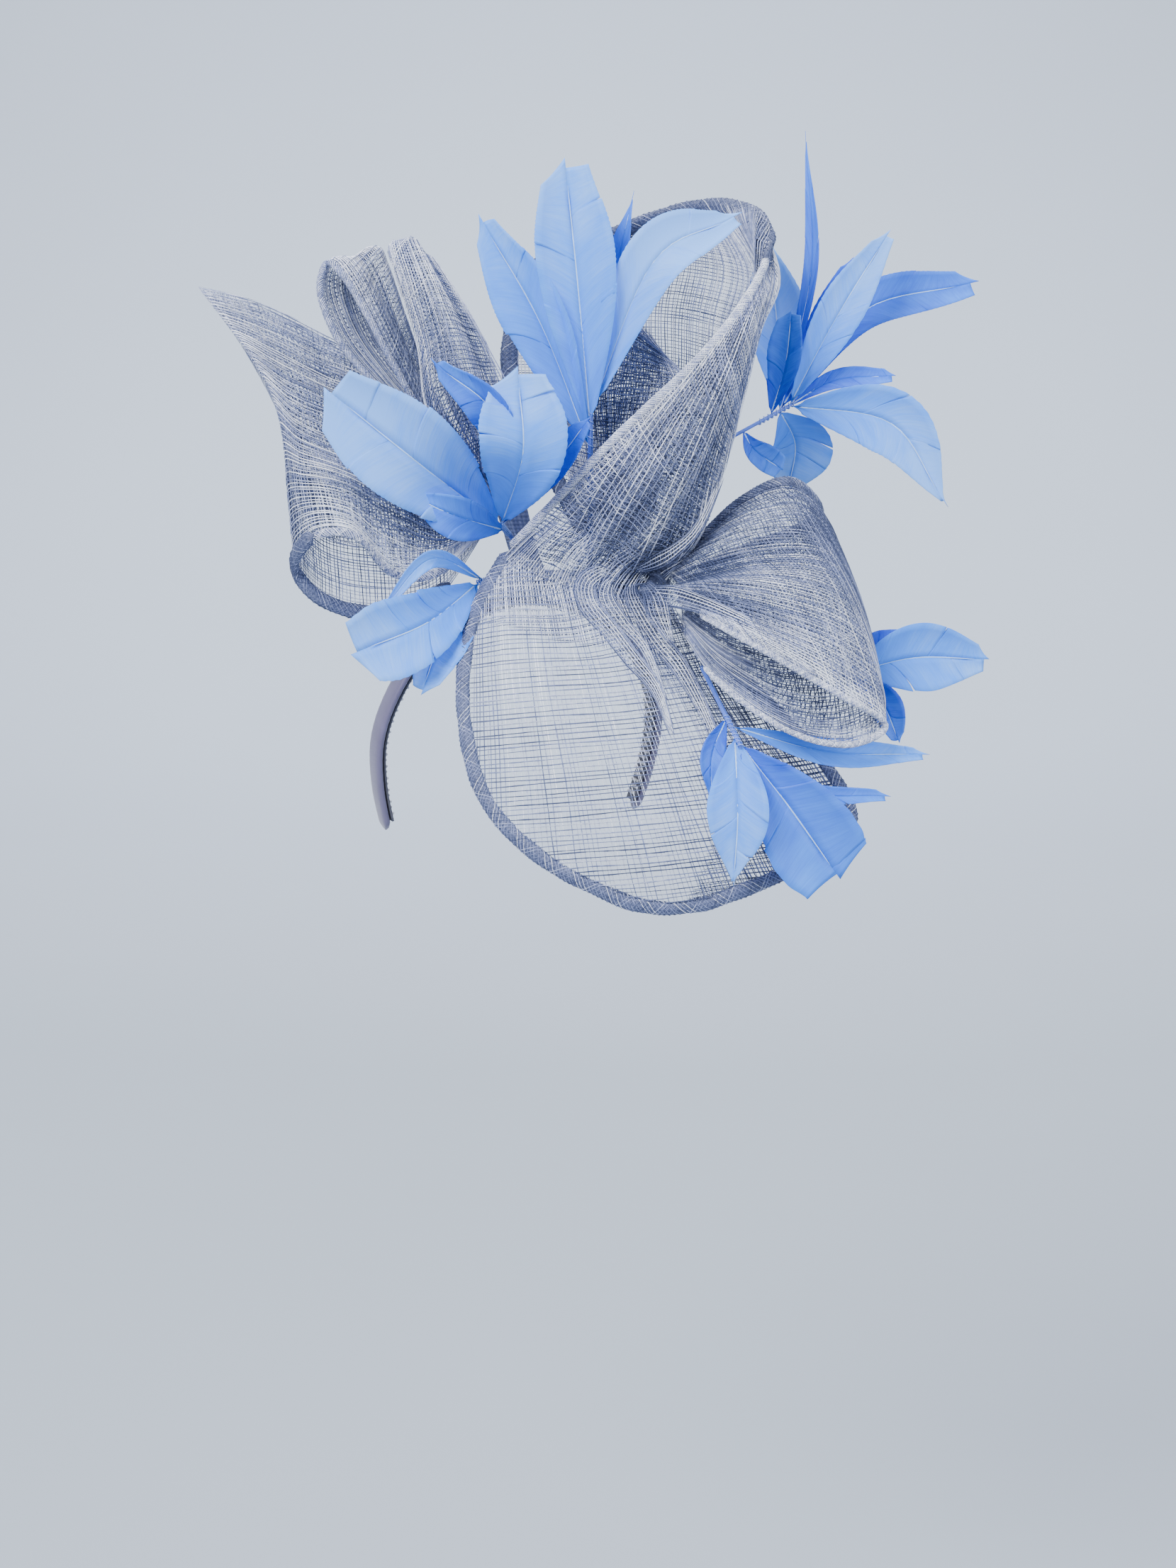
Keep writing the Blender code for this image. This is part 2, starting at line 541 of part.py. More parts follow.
seats = {
    "feather_spray_left": pad_clear,
    "feather_spray_top": pad_clear,
    "feather_spray_right_top": far_copy(hood, BEHIND, STEM_REACH),
    "feather_spray_right_mid": far_copy(right_loop, BEHIND, STEM_REACH),
    "feather_spray_lower_right": far_copy(saucer, BEHIND, STEM_REACH),
    "feather_spray_lower_left": pad_clear,
}
for spray in SPRAYS:
    make_spray(spray, seats[spray.name])

saucer_rim = ((0.985, 0), (0.5, 0), (0, 0), (0, 1), (0.5, 1), (0.9, 1))
hood_rim = ((0.015, 0), (0.5, 0), (1, 0), (1, 1), (0.5, 1), (0, 1))
make_binding("saucer_binding", saucer, edge_path(saucer_rows, saucer_rim, 6), BINDING_RADIUS)
make_binding("hood_binding", hood, edge_path(hood_rows, hood_rim, 6), BINDING_RADIUS)
loop_edge = ((0.12, 0), (0.9, 0))
mouth_edge = ((0.08, 1), (0.92, 1))
make_binding("right_loop_binding", right_loop, edge_path(loop_rows, loop_edge, 18), BINDING_RADIUS)
make_binding("horn_binding", horn_loop, edge_path(horn_rows, mouth_edge, 22), HORN_BINDING_RADIUS)
make_binding("leaf_binding", leaf_loop, edge_path(leaf_rows, mouth_edge, 22), LEAF_BINDING_RADIUS)
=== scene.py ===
"""Dresses the sinamay fascinator: open weave cloth, rolled edges, a satin band and feather sprays.

Lengths are in metres. The cloth and the feathers are laid out in the trim frame, which is turned and
tipped about the head seat: across runs to the viewer's right, depth away from the viewer, and up along
the trim. Tables hold shares of named sizes.
"""

from collections import namedtuple
from math import ceil, cos, pi, radians, sin

import bmesh
import bpy
import numpy as np
from mathutils import Euler, Matrix, Vector


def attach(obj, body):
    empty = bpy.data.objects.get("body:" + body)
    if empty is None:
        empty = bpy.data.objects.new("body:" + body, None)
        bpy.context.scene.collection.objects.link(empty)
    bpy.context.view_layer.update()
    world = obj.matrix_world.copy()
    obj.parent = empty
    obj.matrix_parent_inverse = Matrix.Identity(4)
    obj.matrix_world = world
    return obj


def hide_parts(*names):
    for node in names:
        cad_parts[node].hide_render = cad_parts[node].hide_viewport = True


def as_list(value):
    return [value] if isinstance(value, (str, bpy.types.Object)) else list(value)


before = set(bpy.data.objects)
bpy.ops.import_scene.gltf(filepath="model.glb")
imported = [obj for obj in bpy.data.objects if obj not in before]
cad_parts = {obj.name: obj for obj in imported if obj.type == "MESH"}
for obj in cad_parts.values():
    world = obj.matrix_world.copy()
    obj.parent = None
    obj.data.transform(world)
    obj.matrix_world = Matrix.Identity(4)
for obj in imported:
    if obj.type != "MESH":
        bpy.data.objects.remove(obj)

bl_info = {
    "name": "Fascinator",
    "version": (1, 0, 0),
    "blender": (4, 5, 0),
    "location": "View3D > Sidebar > Fascinator",
    "description": "Builds a swirled sinamay fascinator with feather sprays on a satin headband",
    "category": "Add Mesh",
}

BODY = "root"

# The trim frame, turned about the head seat.
TRIM_TURN = radians(-22)
TRIM_TIP = radians(8)
TRIM = np.array(Euler((-TRIM_TIP, 0.0, TRIM_TURN)).to_matrix())

# The headband.
BAND_HALF_WIDTH = 0.074
BAND_DROP = 0.118
BAND_LEAN = 0.022
BAND_WIDTH = 0.016
BAND_WALL = 0.0040
END_TAPER = 0.35
LINER_WIDTH = 0.011
LINER_WALL = 0.0010
LINER_SHARE = 0.97
TOOTH_HEIGHT = 0.0013
SEAT_GAP = 0.0003
TOOTH_COLUMNS = 4
TOOTH_RADII = (0.00085, 0.00035)

# The band's ends are rounded over a share of half its length. The powers make its section squarer than an
# ellipse. Its cover puckers, and measures so much along the band and round it.
END_ROUND = 0.028
EDGE_POWER = 0.55
FACE_POWER = 0.75
PUCKER = 0.02
PUCKERS = 410
COVER_SIZE = (0.36, 0.040)

# The twist, where the cloth is pinched, and the root of the loops on the left, in the trim frame.
TWIST = np.array((0.061, -0.045, 0.015))
LOOP_ROOT = np.array((-0.011, 0.000, 0.054))

# Each form's own width across, depth and height, which its table's shares follow.
SAUCER_SIZE = (0.200, 0.070, 0.160)
HOOD_SIZE = (0.140, 0.100, 0.200)
FOLD_SIZE = (0.070, 0.060, 0.150)
RIGHT_LOOP_SIZE = (0.120, 0.080, 0.120)
HORN_SIZE = (0.160, 0.080, 0.120)
LEAF_SIZE = (0.090, 0.050, 0.130)
PLEAT_SIZE = (0.060, 0.070, 0.130)

# The pad on the crown and its post to the loops.
PAD_CENTRE = np.array((0.012, -0.012, 0.011))
PAD_RADII = np.array((0.034, 0.034, 0.0085))
POST_RADIUS = 0.0065
PAD_SEAMS = 26
PAD_POWER = 0.7
POST_PLEATS = 8
PAD_COVER = (0.06, 0.21)
POST_COVER = (0.06, 0.045)

Band = namedtuple("Band", "drop half_width lean")
BAND = tuple(Band(*row) for row in (
    (0.00, 0.00, 0.00), (0.03, 0.28, 0.00), (0.10, 0.53, 0.02), (0.24, 0.78, 0.10),
    (0.42, 0.94, 0.28), (0.60, 1.00, 0.55), (0.80, 0.97, 0.80), (1.00, 0.89, 1.00),
))

# A table holds the sections of a sheet, one to a row. A row's points are (across, depth, up) shares of the
# form's size, counted from its anchor. They run from left to right in a plain sheet, from lip to belly, fold,
# back and rim in the hood, and from the far side to the mouth in a loop.
SAUCER = (
    ((-0.04, -0.93, -1.02), (0.06, -0.96, -1.035), (0.16, -0.93, -1.02)),
    ((-0.24, -0.84, -0.90), (0.06, -1.07, -0.92), (0.37, -0.79, -0.92)),
    ((-0.40, -0.69, -0.71), (0.06, -1.10, -0.72), (0.53, -0.53, -0.78)),
    ((-0.46, -0.50, -0.46), (0.04, -1.03, -0.50), (0.48, -0.36, -0.61)),
    ((-0.46, -0.24, -0.23), (-0.04, -0.79, -0.30), (0.33, -0.24, -0.40)),
    ((-0.42, 0.10, -0.06), (-0.12, -0.43, -0.15), (0.16, -0.14, -0.20)),
    ((-0.343, 0.30, 0.10), (-0.161, -0.07, 0.00), (0.035, 0.014, -0.025)),
)
HOOD = (
    ((-0.49, 0.21, 0.08), (-0.23, -0.05, 0.00), (0.05, 0.01, -0.02),
     (-0.03, 0.27, 0.05), (-0.20, 0.37, 0.08)),
    ((-0.31, -0.07, 0.21), (-0.06, -0.29, 0.14), (0.21, -0.05, 0.10),
     (0.03, 0.47, 0.20), (-0.34, 0.57, 0.26)),
    ((-0.09, -0.25, 0.37), (0.12, -0.43, 0.30), (0.29, -0.05, 0.26), (0.09, 0.65, 0.36), (-0.46, 0.69, 0.40)),
    ((0.17, -0.31, 0.54), (0.28, -0.39, 0.49), (0.36, -0.01, 0.45), (0.11, 0.77, 0.54), (-0.51, 0.77, 0.55)),
    ((0.34, -0.23, 0.68), (0.39, -0.23, 0.66), (0.41, 0.09, 0.63), (0.11, 0.83, 0.70), (-0.49, 0.81, 0.69)),
    ((0.44, -0.05, 0.80), (0.46, 0.01, 0.79), (0.47, 0.21, 0.78), (0.14, 0.83, 0.84), (-0.41, 0.81, 0.82)),
    ((0.47, 0.17, 0.88), (0.43, 0.31, 0.94), (0.31, 0.45, 0.97), (0.11, 0.63, 0.96), (-0.20, 0.73, 0.88)),
)
INNER_FOLD = (
    ((-0.48, 0.42, 0.26), (-0.25, 0.10, 0.18), (0.02, -0.45, 0.12)),
    ((-0.65, 0.70, 0.48), (-0.31, 0.35, 0.45), (0.18, -0.12, 0.42)),
    ((-0.72, 0.85, 0.72), (-0.34, 0.45, 0.70), (0.33, -0.18, 0.65)),
    ((-0.62, 0.88, 0.96), (-0.24, 0.60, 0.98), (0.12, -0.05, 0.78)),
)
RIGHT_LOOP = (
    ((0.14, 0.05, 0.01), (0.14, -0.15, -0.04), (0.14, -0.25, -0.10)),
    ((0.24, 0.15, 0.16), (0.26, -0.50, -0.02), (0.27, -0.68, -0.17)),
    ((0.43, 0.12, 0.34), (0.50, -0.72, 0.00), (0.52, -0.92, -0.31)),
    ((0.63, 0.12, 0.42), (0.77, -0.62, -0.03), (0.81, -0.92, -0.48)),
    ((0.77, 0.44, 0.30), (0.93, -0.19, -0.16), (1.01, -0.75, -0.61)),
    ((0.68, 0.69, 0.21), (0.80, -0.12, -0.26), (0.85, -0.84, -0.69)),
    ((0.48, 0.62, 0.14), (0.57, -0.34, -0.29), (0.60, -0.91, -0.63)),
    ((0.27, 0.41, 0.05), (0.34, -0.34, -0.23), (0.31, -0.84, -0.43)),
    ((0.15, 0.20, -0.03), (0.16, -0.16, -0.12), (0.17, -0.50, -0.24)),
)
HORN = (
    ((-0.03, 0.06, 0.06), (-0.03, -0.06, -0.01), (-0.03, -0.18, -0.07)),
    ((-0.24, 0.12, 0.35), (-0.20, -0.30, 0.02), (-0.20, -0.50, -0.30)),
    ((-0.42, 0.14, 0.61), (-0.40, -0.44, 0.22), (-0.35, -0.70, -0.31)),
    ((-0.60, 0.10, 0.74), (-0.55, -0.45, 0.28), (-0.46, -0.90, -0.15)),
    ((-0.80, 0.00, 0.87), (-0.67, -0.42, 0.35), (-0.59, -0.88, -0.15)),
    ((-0.99, -0.15, 0.93), (-0.74, -0.38, 0.43), (-0.665, -0.68, -0.28)),
    ((-0.85, 0.18, 0.89), (-0.64, -0.02, 0.15), (-0.59, -0.60, -0.42)),
    ((-0.60, 0.36, 0.72), (-0.47, 0.12, 0.08), (-0.42, -0.48, -0.49)),
    ((-0.35, 0.36, 0.48), (-0.25, 0.16, 0.02), (-0.22, -0.36, -0.43)),
    ((-0.04, 0.16, 0.08), (-0.04, 0.12, 0.00), (-0.04, -0.04, -0.08)),
)
LEAF = (
    ((-0.06, -0.04, 0.01), (-0.07, -0.18, 0.01), (-0.08, -0.32, 0.00)),
    ((-0.39, -0.12, 0.35), (-0.44, -0.48, 0.33), (-0.50, -0.88, 0.30)),
    ((-0.57, -0.10, 0.52), (-0.64, -0.52, 0.48), (-0.71, -1.00, 0.45)),
    ((-0.75, -0.04, 0.71), (-0.84, -0.52, 0.67), (-0.93, -1.00, 0.63)),
    ((-0.82, -0.04, 0.91), (-0.93, -0.48, 0.86), (-1.04, -0.92, 0.82)),
    ((-0.72, -0.04, 1.02), (-0.86, -0.44, 0.97), (-1.00, -0.84, 0.94)),
    ((-0.66, -0.04, 0.94), (-0.77, -0.48, 0.91), (-0.89, -0.92, 0.87)),
    ((-0.57, -0.06, 0.75), (-0.66, -0.56, 0.74), (-0.76, -1.04, 0.72)),
    ((-0.48, -0.10, 0.57), (-0.54, -0.60, 0.55), (-0.62, -1.06, 0.54)),
    ((-0.33, -0.20, 0.34), (-0.38, -0.56, 0.33), (-0.43, -0.90, 0.32)),
    ((-0.05, -0.04, 0.04), (-0.06, -0.16, 0.04), (-0.07, -0.28, 0.04)),
)
PLEAT = (
    ((-0.06, -0.26, 0.04), (0.00, -0.28, 0.05), (0.08, -0.24, 0.03)),
    ((-0.61, -0.71, 0.32), (-0.32, -0.95, 0.35), (0.10, -0.62, 0.38)),
    ((-0.73, -0.69, 0.60), (-0.46, -0.98, 0.63), (-0.12, -0.58, 0.61)),
    ((-0.88, -0.58, 0.83), (-0.63, -0.86, 0.85), (-0.35, -0.50, 0.80)),
    ((-1.00, -0.28, 0.99), (-0.81, -0.40, 1.04), (-0.60, -0.23, 0.97)),
    ((-0.85, 0.06, 0.82), (-0.61, 0.16, 0.83), (-0.37, 0.03, 0.79)),
    ((-0.66, 0.12, 0.57), (-0.38, 0.24, 0.58), (-0.13, 0.12, 0.60)),
    ((-0.40, 0.14, 0.30), (-0.20, 0.24, 0.28), (0.03, 0.12, 0.32)),
    ((-0.04, 0.10, 0.05), (0.02, 0.14, 0.06), (0.08, 0.10, 0.05)),
)

# A ripple lifts a sheet in waves across and along it, most between its start and end along the sheet.
Ripple = namedtuple("Ripple", "height across along phase start end")

# A layer of a cloth: how far it stands off, how it is sheared, the part across and along that it covers,
# and how much lighter or darker its threads are: painted light in front and painted shade behind.
Layer = namedtuple("Layer", "lift shear left right low shade")

# One cloth: its node, table, size, anchor, the cut's width and length, its layers and ripples, how far apart
# its warps and wefts lie, the longest step along a thread, and the seed of its draws.
Cloth = namedtuple("Cloth", "node table size anchor flat layers ripples warp weft step seed")
# The last number in each layer's row is that layer's painted light or painted shade.
CLOTHS = (
    Cloth("saucer", SAUCER, SAUCER_SIZE, TWIST, (0.190, 0.190), (
        (0.0, 0.0, 0.0, 1.0, 0.0, -0.04), (0.0018, 0.5, 0.62, 1.0, 0.0, -0.20),
        (-0.0016, 0.3, 0.0, 1.0, 0.74, 0.12)), (
        (0.0014, 2.0, 0.6, 0.4, 0.35, 1.3),
        (0.0009, 0.7, 2.1, 1.7, -0.4, 1.2),
    ), 0.0021, 0.0024, 0.0055, 1),
    Cloth("hood", HOOD, HOOD_SIZE, TWIST, (0.260, 0.240), (
        (0.0, 0.0, 0.0, 1.0, 0.0, 0.02), (0.0030, 0.16, 0.0, 0.5, 0.0, -0.04),
        (0.0060, -0.10, 0.0, 0.48, 0.0, -0.16), (-0.0014, -0.30, 0.0, 0.44, 0.0, 0.08)), (
        (0.0026, 8.0, 0.8, 0.3, -0.5, 0.50),
        (0.0012, 3.0, -0.7, 2.0, 0.2, 1.3),
    ), 0.0018, 0.0022, 0.0060, 2),
    Cloth("inner_fold", INNER_FOLD, FOLD_SIZE, TWIST, (0.100, 0.140), (
        (0.0, 0.0, 0.0, 1.0, 0.0, 0.04), (0.0018, 0.22, 0.0, 1.0, 0.0, -0.08)), (
        (0.0012, 2.0, 0.5, 0.6, -0.3, 0.8),
    ), 0.0015, 0.0021, 0.0060, 3),
    Cloth("right_loop", RIGHT_LOOP, RIGHT_LOOP_SIZE, TWIST, (0.150, 0.300), (
        (0.0, 0.0, 0.0, 1.0, 0.0, -0.12), (-0.0022, 0.20, 0.0, 1.0, 0.0, 0.02)), (
        (0.0030, 2.6, 0.7, 0.9, -0.3, 0.42),
        (0.0016, 2.2, -0.6, 0.2, 0.55, 1.3),
    ), 0.0021, 0.0026, 0.0048, 4),
    Cloth("horn_loop", HORN, HORN_SIZE, LOOP_ROOT, (0.140, 0.340), (
        (0.0, 0.0, 0.0, 1.0, 0.0, -0.04), (-0.0020, 0.16, 0.0, 0.75, 0.0, 0.12)), (
        (0.0022, 2.8, 0.5, 0.3, -0.3, 0.5),
        (0.0014, 2.4, 0.3, 1.4, 0.5, 1.3),
    ), 0.0024, 0.0029, 0.0050, 5),
    Cloth("leaf_loop", LEAF, LEAF_SIZE, LOOP_ROOT, (0.054, 0.330), (
        (0.0, 0.0, 0.0, 1.0, 0.0, -0.12), (-0.0014, 0.10, 0.0, 1.0, 0.0, 0.06)), (
        (0.0008, 1.6, 0.8, 0.3, -0.3, 1.3),
    ), 0.0019, 0.0025, 0.0048, 6),
    Cloth("pleat_loop", PLEAT, PLEAT_SIZE, LOOP_ROOT, (0.056, 0.290), (
        (0.0, 0.0, 0.0, 1.0, 0.0, -0.02), (-0.0014, 0.14, 0.0, 0.55, 0.0, 0.08)), (
        (0.0015, 2.3, 0.4, 0.8, -0.3, 1.3),
    ), 0.0018, 0.0024, 0.0050, 7),
)

# Painted highlights and painted shade on the cloths, where their layers bunch, part or face the light: the
# middle of each place along and across the cloth, its reach along and across, and its tone.
PAINTED_LIGHT_SPOTS = {
    "saucer": (
        (0.98, 0.95, 0.10, 0.14, -0.35), (0.90, 0.30, 0.12, 0.30, 0.18), (0.45, 0.30, 0.40, 0.22, 0.12),
        (0.60, 0.88, 0.40, 0.14, -0.18),
    ),
    "hood": (
        (0.02, 0.50, 0.14, 0.12, -0.35), (0.45, 0.02, 0.60, 0.05, 0.45), (0.30, 0.30, 0.20, 0.12, -0.12),
        (0.65, 0.46, 0.30, 0.06, 0.28), (0.10, 0.12, 0.12, 0.16, -0.18), (0.60, 0.80, 0.40, 0.20, -0.20),
        (0.72, 0.86, 0.04, 0.25, -0.25),
    ),
    "right_loop": (
        (0.12, 0.50, 0.10, 0.50, -0.35), (0.45, 0.10, 0.22, 0.22, -0.30), (0.42, 0.72, 0.16, 0.20, 0.26),
        (0.36, 0.97, 0.30, 0.07, 0.40), (0.70, 0.70, 0.14, 0.30, -0.22),
    ),
    "horn_loop": (
        (0.28, 0.30, 0.12, 0.30, -0.20), (0.42, 0.80, 0.08, 0.20, 0.38), (0.52, 0.20, 0.08, 0.40, 0.22),
        (0.80, 0.40, 0.20, 0.40, -0.20),
    ),
    "leaf_loop": (
        (0.55, 0.50, 0.12, 0.60, 0.16), (0.80, 0.50, 0.12, 0.60, -0.22),
    ),
    "pleat_loop": (
        (0.40, 0.50, 0.10, 0.60, 0.22), (0.20, 0.60, 0.10, 0.40, -0.20),
    ),
    "inner_fold": (
        (0.40, 0.60, 0.30, 0.40, -0.10),
    ),
}

# A gathered fold near the twist: the cloth it lies on, its half width at four places along it, how far it
# stands off, and its path as (across, up) shares of the gathers' span from the twist.
GATHER_SPAN = 0.100
Fold = namedtuple("Fold", "cloth widths lift path")
FOLDS = tuple(Fold(*row) for row in (
    ("saucer", (0.0012, 0.0056, 0.0046, 0.0012), 0.0000, (
        (-0.05, 0.035), (-0.18, 0.045), (-0.29, -0.02), (-0.28, -0.13), (-0.17, -0.26), (-0.06, -0.40),
        (0.06, -0.55), (0.14, -0.78))),
    ("saucer", (0.0016, 0.0052, 0.0040, 0.0018), 0.0004, (
        (-0.05, 0.00), (-0.06, -0.08), (0.00, -0.20), (0.08, -0.32), (0.18, -0.44), (0.30, -0.66),
        (0.42, -0.95))),
    ("saucer", (0.0010, 0.0036, 0.0030, 0.0014), 0.0010, (
        (-0.10, 0.01), (-0.17, -0.02), (-0.19, -0.10), (-0.11, -0.22), (0.01, -0.36), (0.10, -0.60))),
    ("right_loop", (0.0014, 0.0054, 0.0036, 0.0014), 0.0000, (
        (-0.02, -0.06), (0.08, -0.08), (0.20, -0.10), (0.38, -0.16), (0.62, -0.28), (0.85, -0.48))),
    ("right_loop", (0.0020, 0.0058, 0.0050, 0.0016), 0.0006, (
        (0.00, -0.02), (0.05, -0.09), (0.08, -0.19), (0.14, -0.32))),
    ("hood", (0.0014, 0.0040, 0.0026, 0.0012), 0.0000, (
        (-0.04, 0.04), (0.06, 0.08), (0.16, 0.14), (0.28, 0.26), (0.40, 0.52))),
))

# A rolled edge: its name, its cloth, the steps on each side of its path, its half width and thickness, how
# much lighter its threads are, and the corners of its path as (along, across). A binding replaces the node of
# its name, and a lip adds to its cloth.
Roll = namedtuple("Roll", "name cloth steps half_width thick shade corners")
ROLLS = tuple(Roll(*row) for row in (
    ("saucer_binding", "saucer", 26, 0.0038, 0.0021, -0.10,
     ((0.985, 0), (0.5, 0), (0, 0), (0, 1), (0.5, 1), (0.9, 1))),
    ("hood_lip", "hood", 40, 0.0021, 0.0016, 0.36, ((0.0, 0), (0.5, 0), (0.9, 0))),
    ("hood_binding", "hood", 26, 0.0044, 0.0022, -0.24, ((0.84, 0), (1, 0), (1, 1), (0.5, 1), (0, 1))),
    ("right_loop_binding", "right_loop", 90, 0.0030, 0.0018, -0.14, ((0.12, 0), (0.9, 0))),
    ("right_loop_lip", "right_loop", 50, 0.0014, 0.0011, 0.22, ((0.10, 1), (0.5, 1), (0.92, 1))),
    ("horn_binding", "horn_loop", 80, 0.0046, 0.0022, -0.20, ((0.45, 1), (0.92, 1))),
    ("horn_lip", "horn_loop", 60, 0.0022, 0.0016, 0.15, ((0.08, 1), (0.45, 1))),
    ("leaf_binding", "leaf_loop", 100, 0.0020, 0.0014, 0.05, ((0.08, 1), (0.92, 1))),
))

# A blade leaves its stem at a share of the stem's length, and runs through its middle to its tip.
# Its face is how far it is turned about its quill, in degrees, and its tone runs from light to deep.
Blade = namedtuple("Blade", "leaves middle tip width cut face tone")
Spray = namedtuple("Spray", "name reach root knot blades")
SPRAYS = (
    Spray("feather_spray_left", 0.100, (-0.0030, -0.0020, 0.0300), (-0.0112, -0.0200, 0.0408), (
        (0.9, (-0.40, -0.46, 0.31), (-0.82, -0.62, 0.65), 0.46, "square", 0, 0.08),
        (1.0, (0.11, -0.56, 0.37), (0.09, -0.60, 0.74), 0.40, "square", 0, 0.20),
        (0.8, (-0.24, -0.34, 0.06), (-0.46, -0.42, 0.16), 0.20, "point", 10, 0.55),
        (1.0, (-0.02, -0.52, 0.54), (-0.30, -0.58, 0.80), 0.20, "blunt", 25, 0.75),
        (1.0, (0.26, -0.40, 0.31), (0.42, -0.56, 0.52), 0.16, "blunt", 20, 0.85),
    )),
    Spray("feather_spray_top", 0.120, (0.0340, -0.0240, 0.0100), (0.0340, -0.0540, 0.1020), (
        (0.9, (-0.05, -0.10, 0.48), (-0.10, -0.13, 0.97), 0.30, "square", 0, 0.20),
        (1.0, (0.26, -0.13, 0.60), (0.58, -0.07, 0.79), 0.23, "blunt", 10, 0.00),
        (0.8, (-0.21, -0.05, 0.35), (-0.44, -0.07, 0.75), 0.25, "blunt", 15, 0.30),
        (1.0, (0.11, 0.03, 0.58), (0.17, 0.05, 0.86), 0.09, "point", 30, 0.70),
    )),
    Spray("feather_spray_right_top", 0.130, (0.0920, -0.0100, 0.0790), (0.1376, -0.0080, 0.1040), (
        (0.9, (0.09, 0.06, 0.55), (0.07, 0.12, 1.03), 0.055, "point", 20, 0.75),
        (1.0, (0.18, -0.05, 0.34), (0.37, -0.09, 0.65), 0.16, "blunt", 0, 0.15),
        (1.0, (0.30, 0.11, 0.38), (0.71, 0.14, 0.49), 0.16, "square", 10, 0.70),
        (0.9, (-0.04, 0.22, 0.34), (-0.09, 0.28, 0.68), 0.22, "point", 0, 0.10),
        (0.8, (-0.02, -0.05, 0.15), (0.00, -0.08, 0.35), 0.14, "square", 30, 0.75),
        (1.0, (0.18, 0.02, 0.10), (0.40, 0.03, 0.12), 0.08, "square", 20, 0.75),
        (1.0, (0.40, -0.06, -0.07), (0.60, -0.11, -0.36), 0.24, "point", 0, 0.12),
        (0.9, (0.03, 0.12, -0.15), (0.01, 0.15, -0.31), 0.26, "blunt", 0, 0.20),
        (0.9, (0.14, 0.10, 0.28), (0.25, 0.14, 0.56), 0.15, "blunt", 0, 1.00),
        (0.5, (-0.14, -0.06, -0.18), (-0.04, -0.08, -0.25), 0.10, "fan", 15, 0.70),
    )),
    Spray("feather_spray_right_mid", 0.070, (0.1470, -0.0720, -0.0270), (0.1668, -0.0500, -0.0352), (
        (0.9, (0.46, 0.00, 0.13), (0.97, 0.06, 0.12), 0.44, "blunt", 0, 0.25),
        (1.0, (0.17, 0.09, 0.19), (0.39, 0.17, 0.31), 0.17, "blunt", 25, 0.95),
        (1.0, (0.23, -0.14, -0.19), (0.34, -0.23, -0.44), 0.23, "blunt", 10, 0.80),
    )),
    Spray("feather_spray_lower_right", 0.090, (0.0900, -0.0740, -0.0288), (0.1080, -0.1190, -0.0660), (
        (0.9, (-0.01, -0.12, -0.38), (-0.03, -0.14, -0.73), 0.30, "point", 0, 0.15),
        (0.7, (-0.15, -0.02, -0.07), (-0.15, -0.06, -0.30), 0.13, "point", 15, 0.65),
        (1.0, (0.26, -0.03, -0.33), (0.53, 0.00, -0.71), 0.46, "fan", 0, 0.62),
        (0.8, (0.50, 0.20, -0.06), (1.01, 0.32, -0.08), 0.15, "blunt", 10, 0.35),
        (1.0, (0.41, 0.18, -0.28), (0.80, 0.26, -0.31), 0.09, "square", 15, 0.60),
    )),
    Spray("feather_spray_lower_left", 0.070, (-0.0005, -0.0020, 0.0200), (-0.0224, -0.0230, 0.0128), (
        (1.0, (-0.38, -0.60, -0.29), (-0.84, -0.80, -0.48), 0.52, "fan", 0, 0.20),
        (0.9, (-0.36, -0.56, 0.17), (-0.74, -0.66, -0.25), 0.12, "point", 15, 0.15),
        (1.0, (-0.26, -0.46, -0.34), (-0.40, -0.68, -0.74), 0.40, "blunt", 0, 0.25),
    )),
)

# How a blade is trimmed: where it is widest, its width at the tip as a share of that, and how far its barbs
# sweep forward, as a share of its length.
Cut = namedtuple("Cut", "widest tip_share sweep")
CUTS = {
    "point": Cut(0.50, 0.05, 0.16),
    "blunt": Cut(0.58, 0.34, 0.15),
    "square": Cut(0.66, 0.58, 0.13),
    "fan": Cut(0.82, 0.80, 0.12),
}

# Feathers, in metres and turns. Every blade is WIDER times as wide as its row says. Its vanes start past its
# root and are parted into locks, and the silk is wrapped round a part of the stem, all as shares of a length.
WIDER = 1.14
STEM_RADIUS = 0.0018
VANE_WALL = 0.00022
BARB_RIDGE = 0.00010
BARB_PITCH = 0.0013
QUILL_RADIUS = 0.00085
WRAP_THREAD = 0.00034
WRAP_TURNS = 9
WRAP_START = 0.62
WRAP_END = 0.99
VANE_START = 0.07
LOCK_LENGTHS = (0.18, 0.50)
LOCK_OVERLAP = 0.012
VANE_CUP = 0.38
VANE_CURL = 0.10
PALE_BLUE = (0.40, 0.68, 1.0)

# The camera looks along the trim frame's depth, from the height of the trim, and down at the frame's middle.
# Its sensor is in millimetres.
FRAME_HEIGHT = 0.824
FRAME_MIDDLE = np.array((0.0328, 0.0, -0.0940))
EYE_HEIGHT = 0.052
SENSOR = 36.0
FLOOR_Z = -0.62

# The backdrop is a sheet of paper that lies level, bends up and stands. It is painted darker away from its
# middle, a painted shade where the light falls off.
PAPER_LENGTH = 10.0
PAPER_LEVEL = 6.0
PAPER_WIDTH = 9.0
PAPER_BACK = 3.4
PAPER_BEND = 1.0
PAPER_PAINTED_SHADE = 0.72

# A sheet's normal is taken over a step, and its ripples die out towards its edges, both as shares of the
# sheet. Painted shade darkens the threads by this much for a metre of a ripple's rise, and painted light
# lightens them where it sinks.
NORMAL_STEP = 0.004
RIPPLE_EDGE = 0.12
RIPPLE_PAINTED_SHADE = 45.0

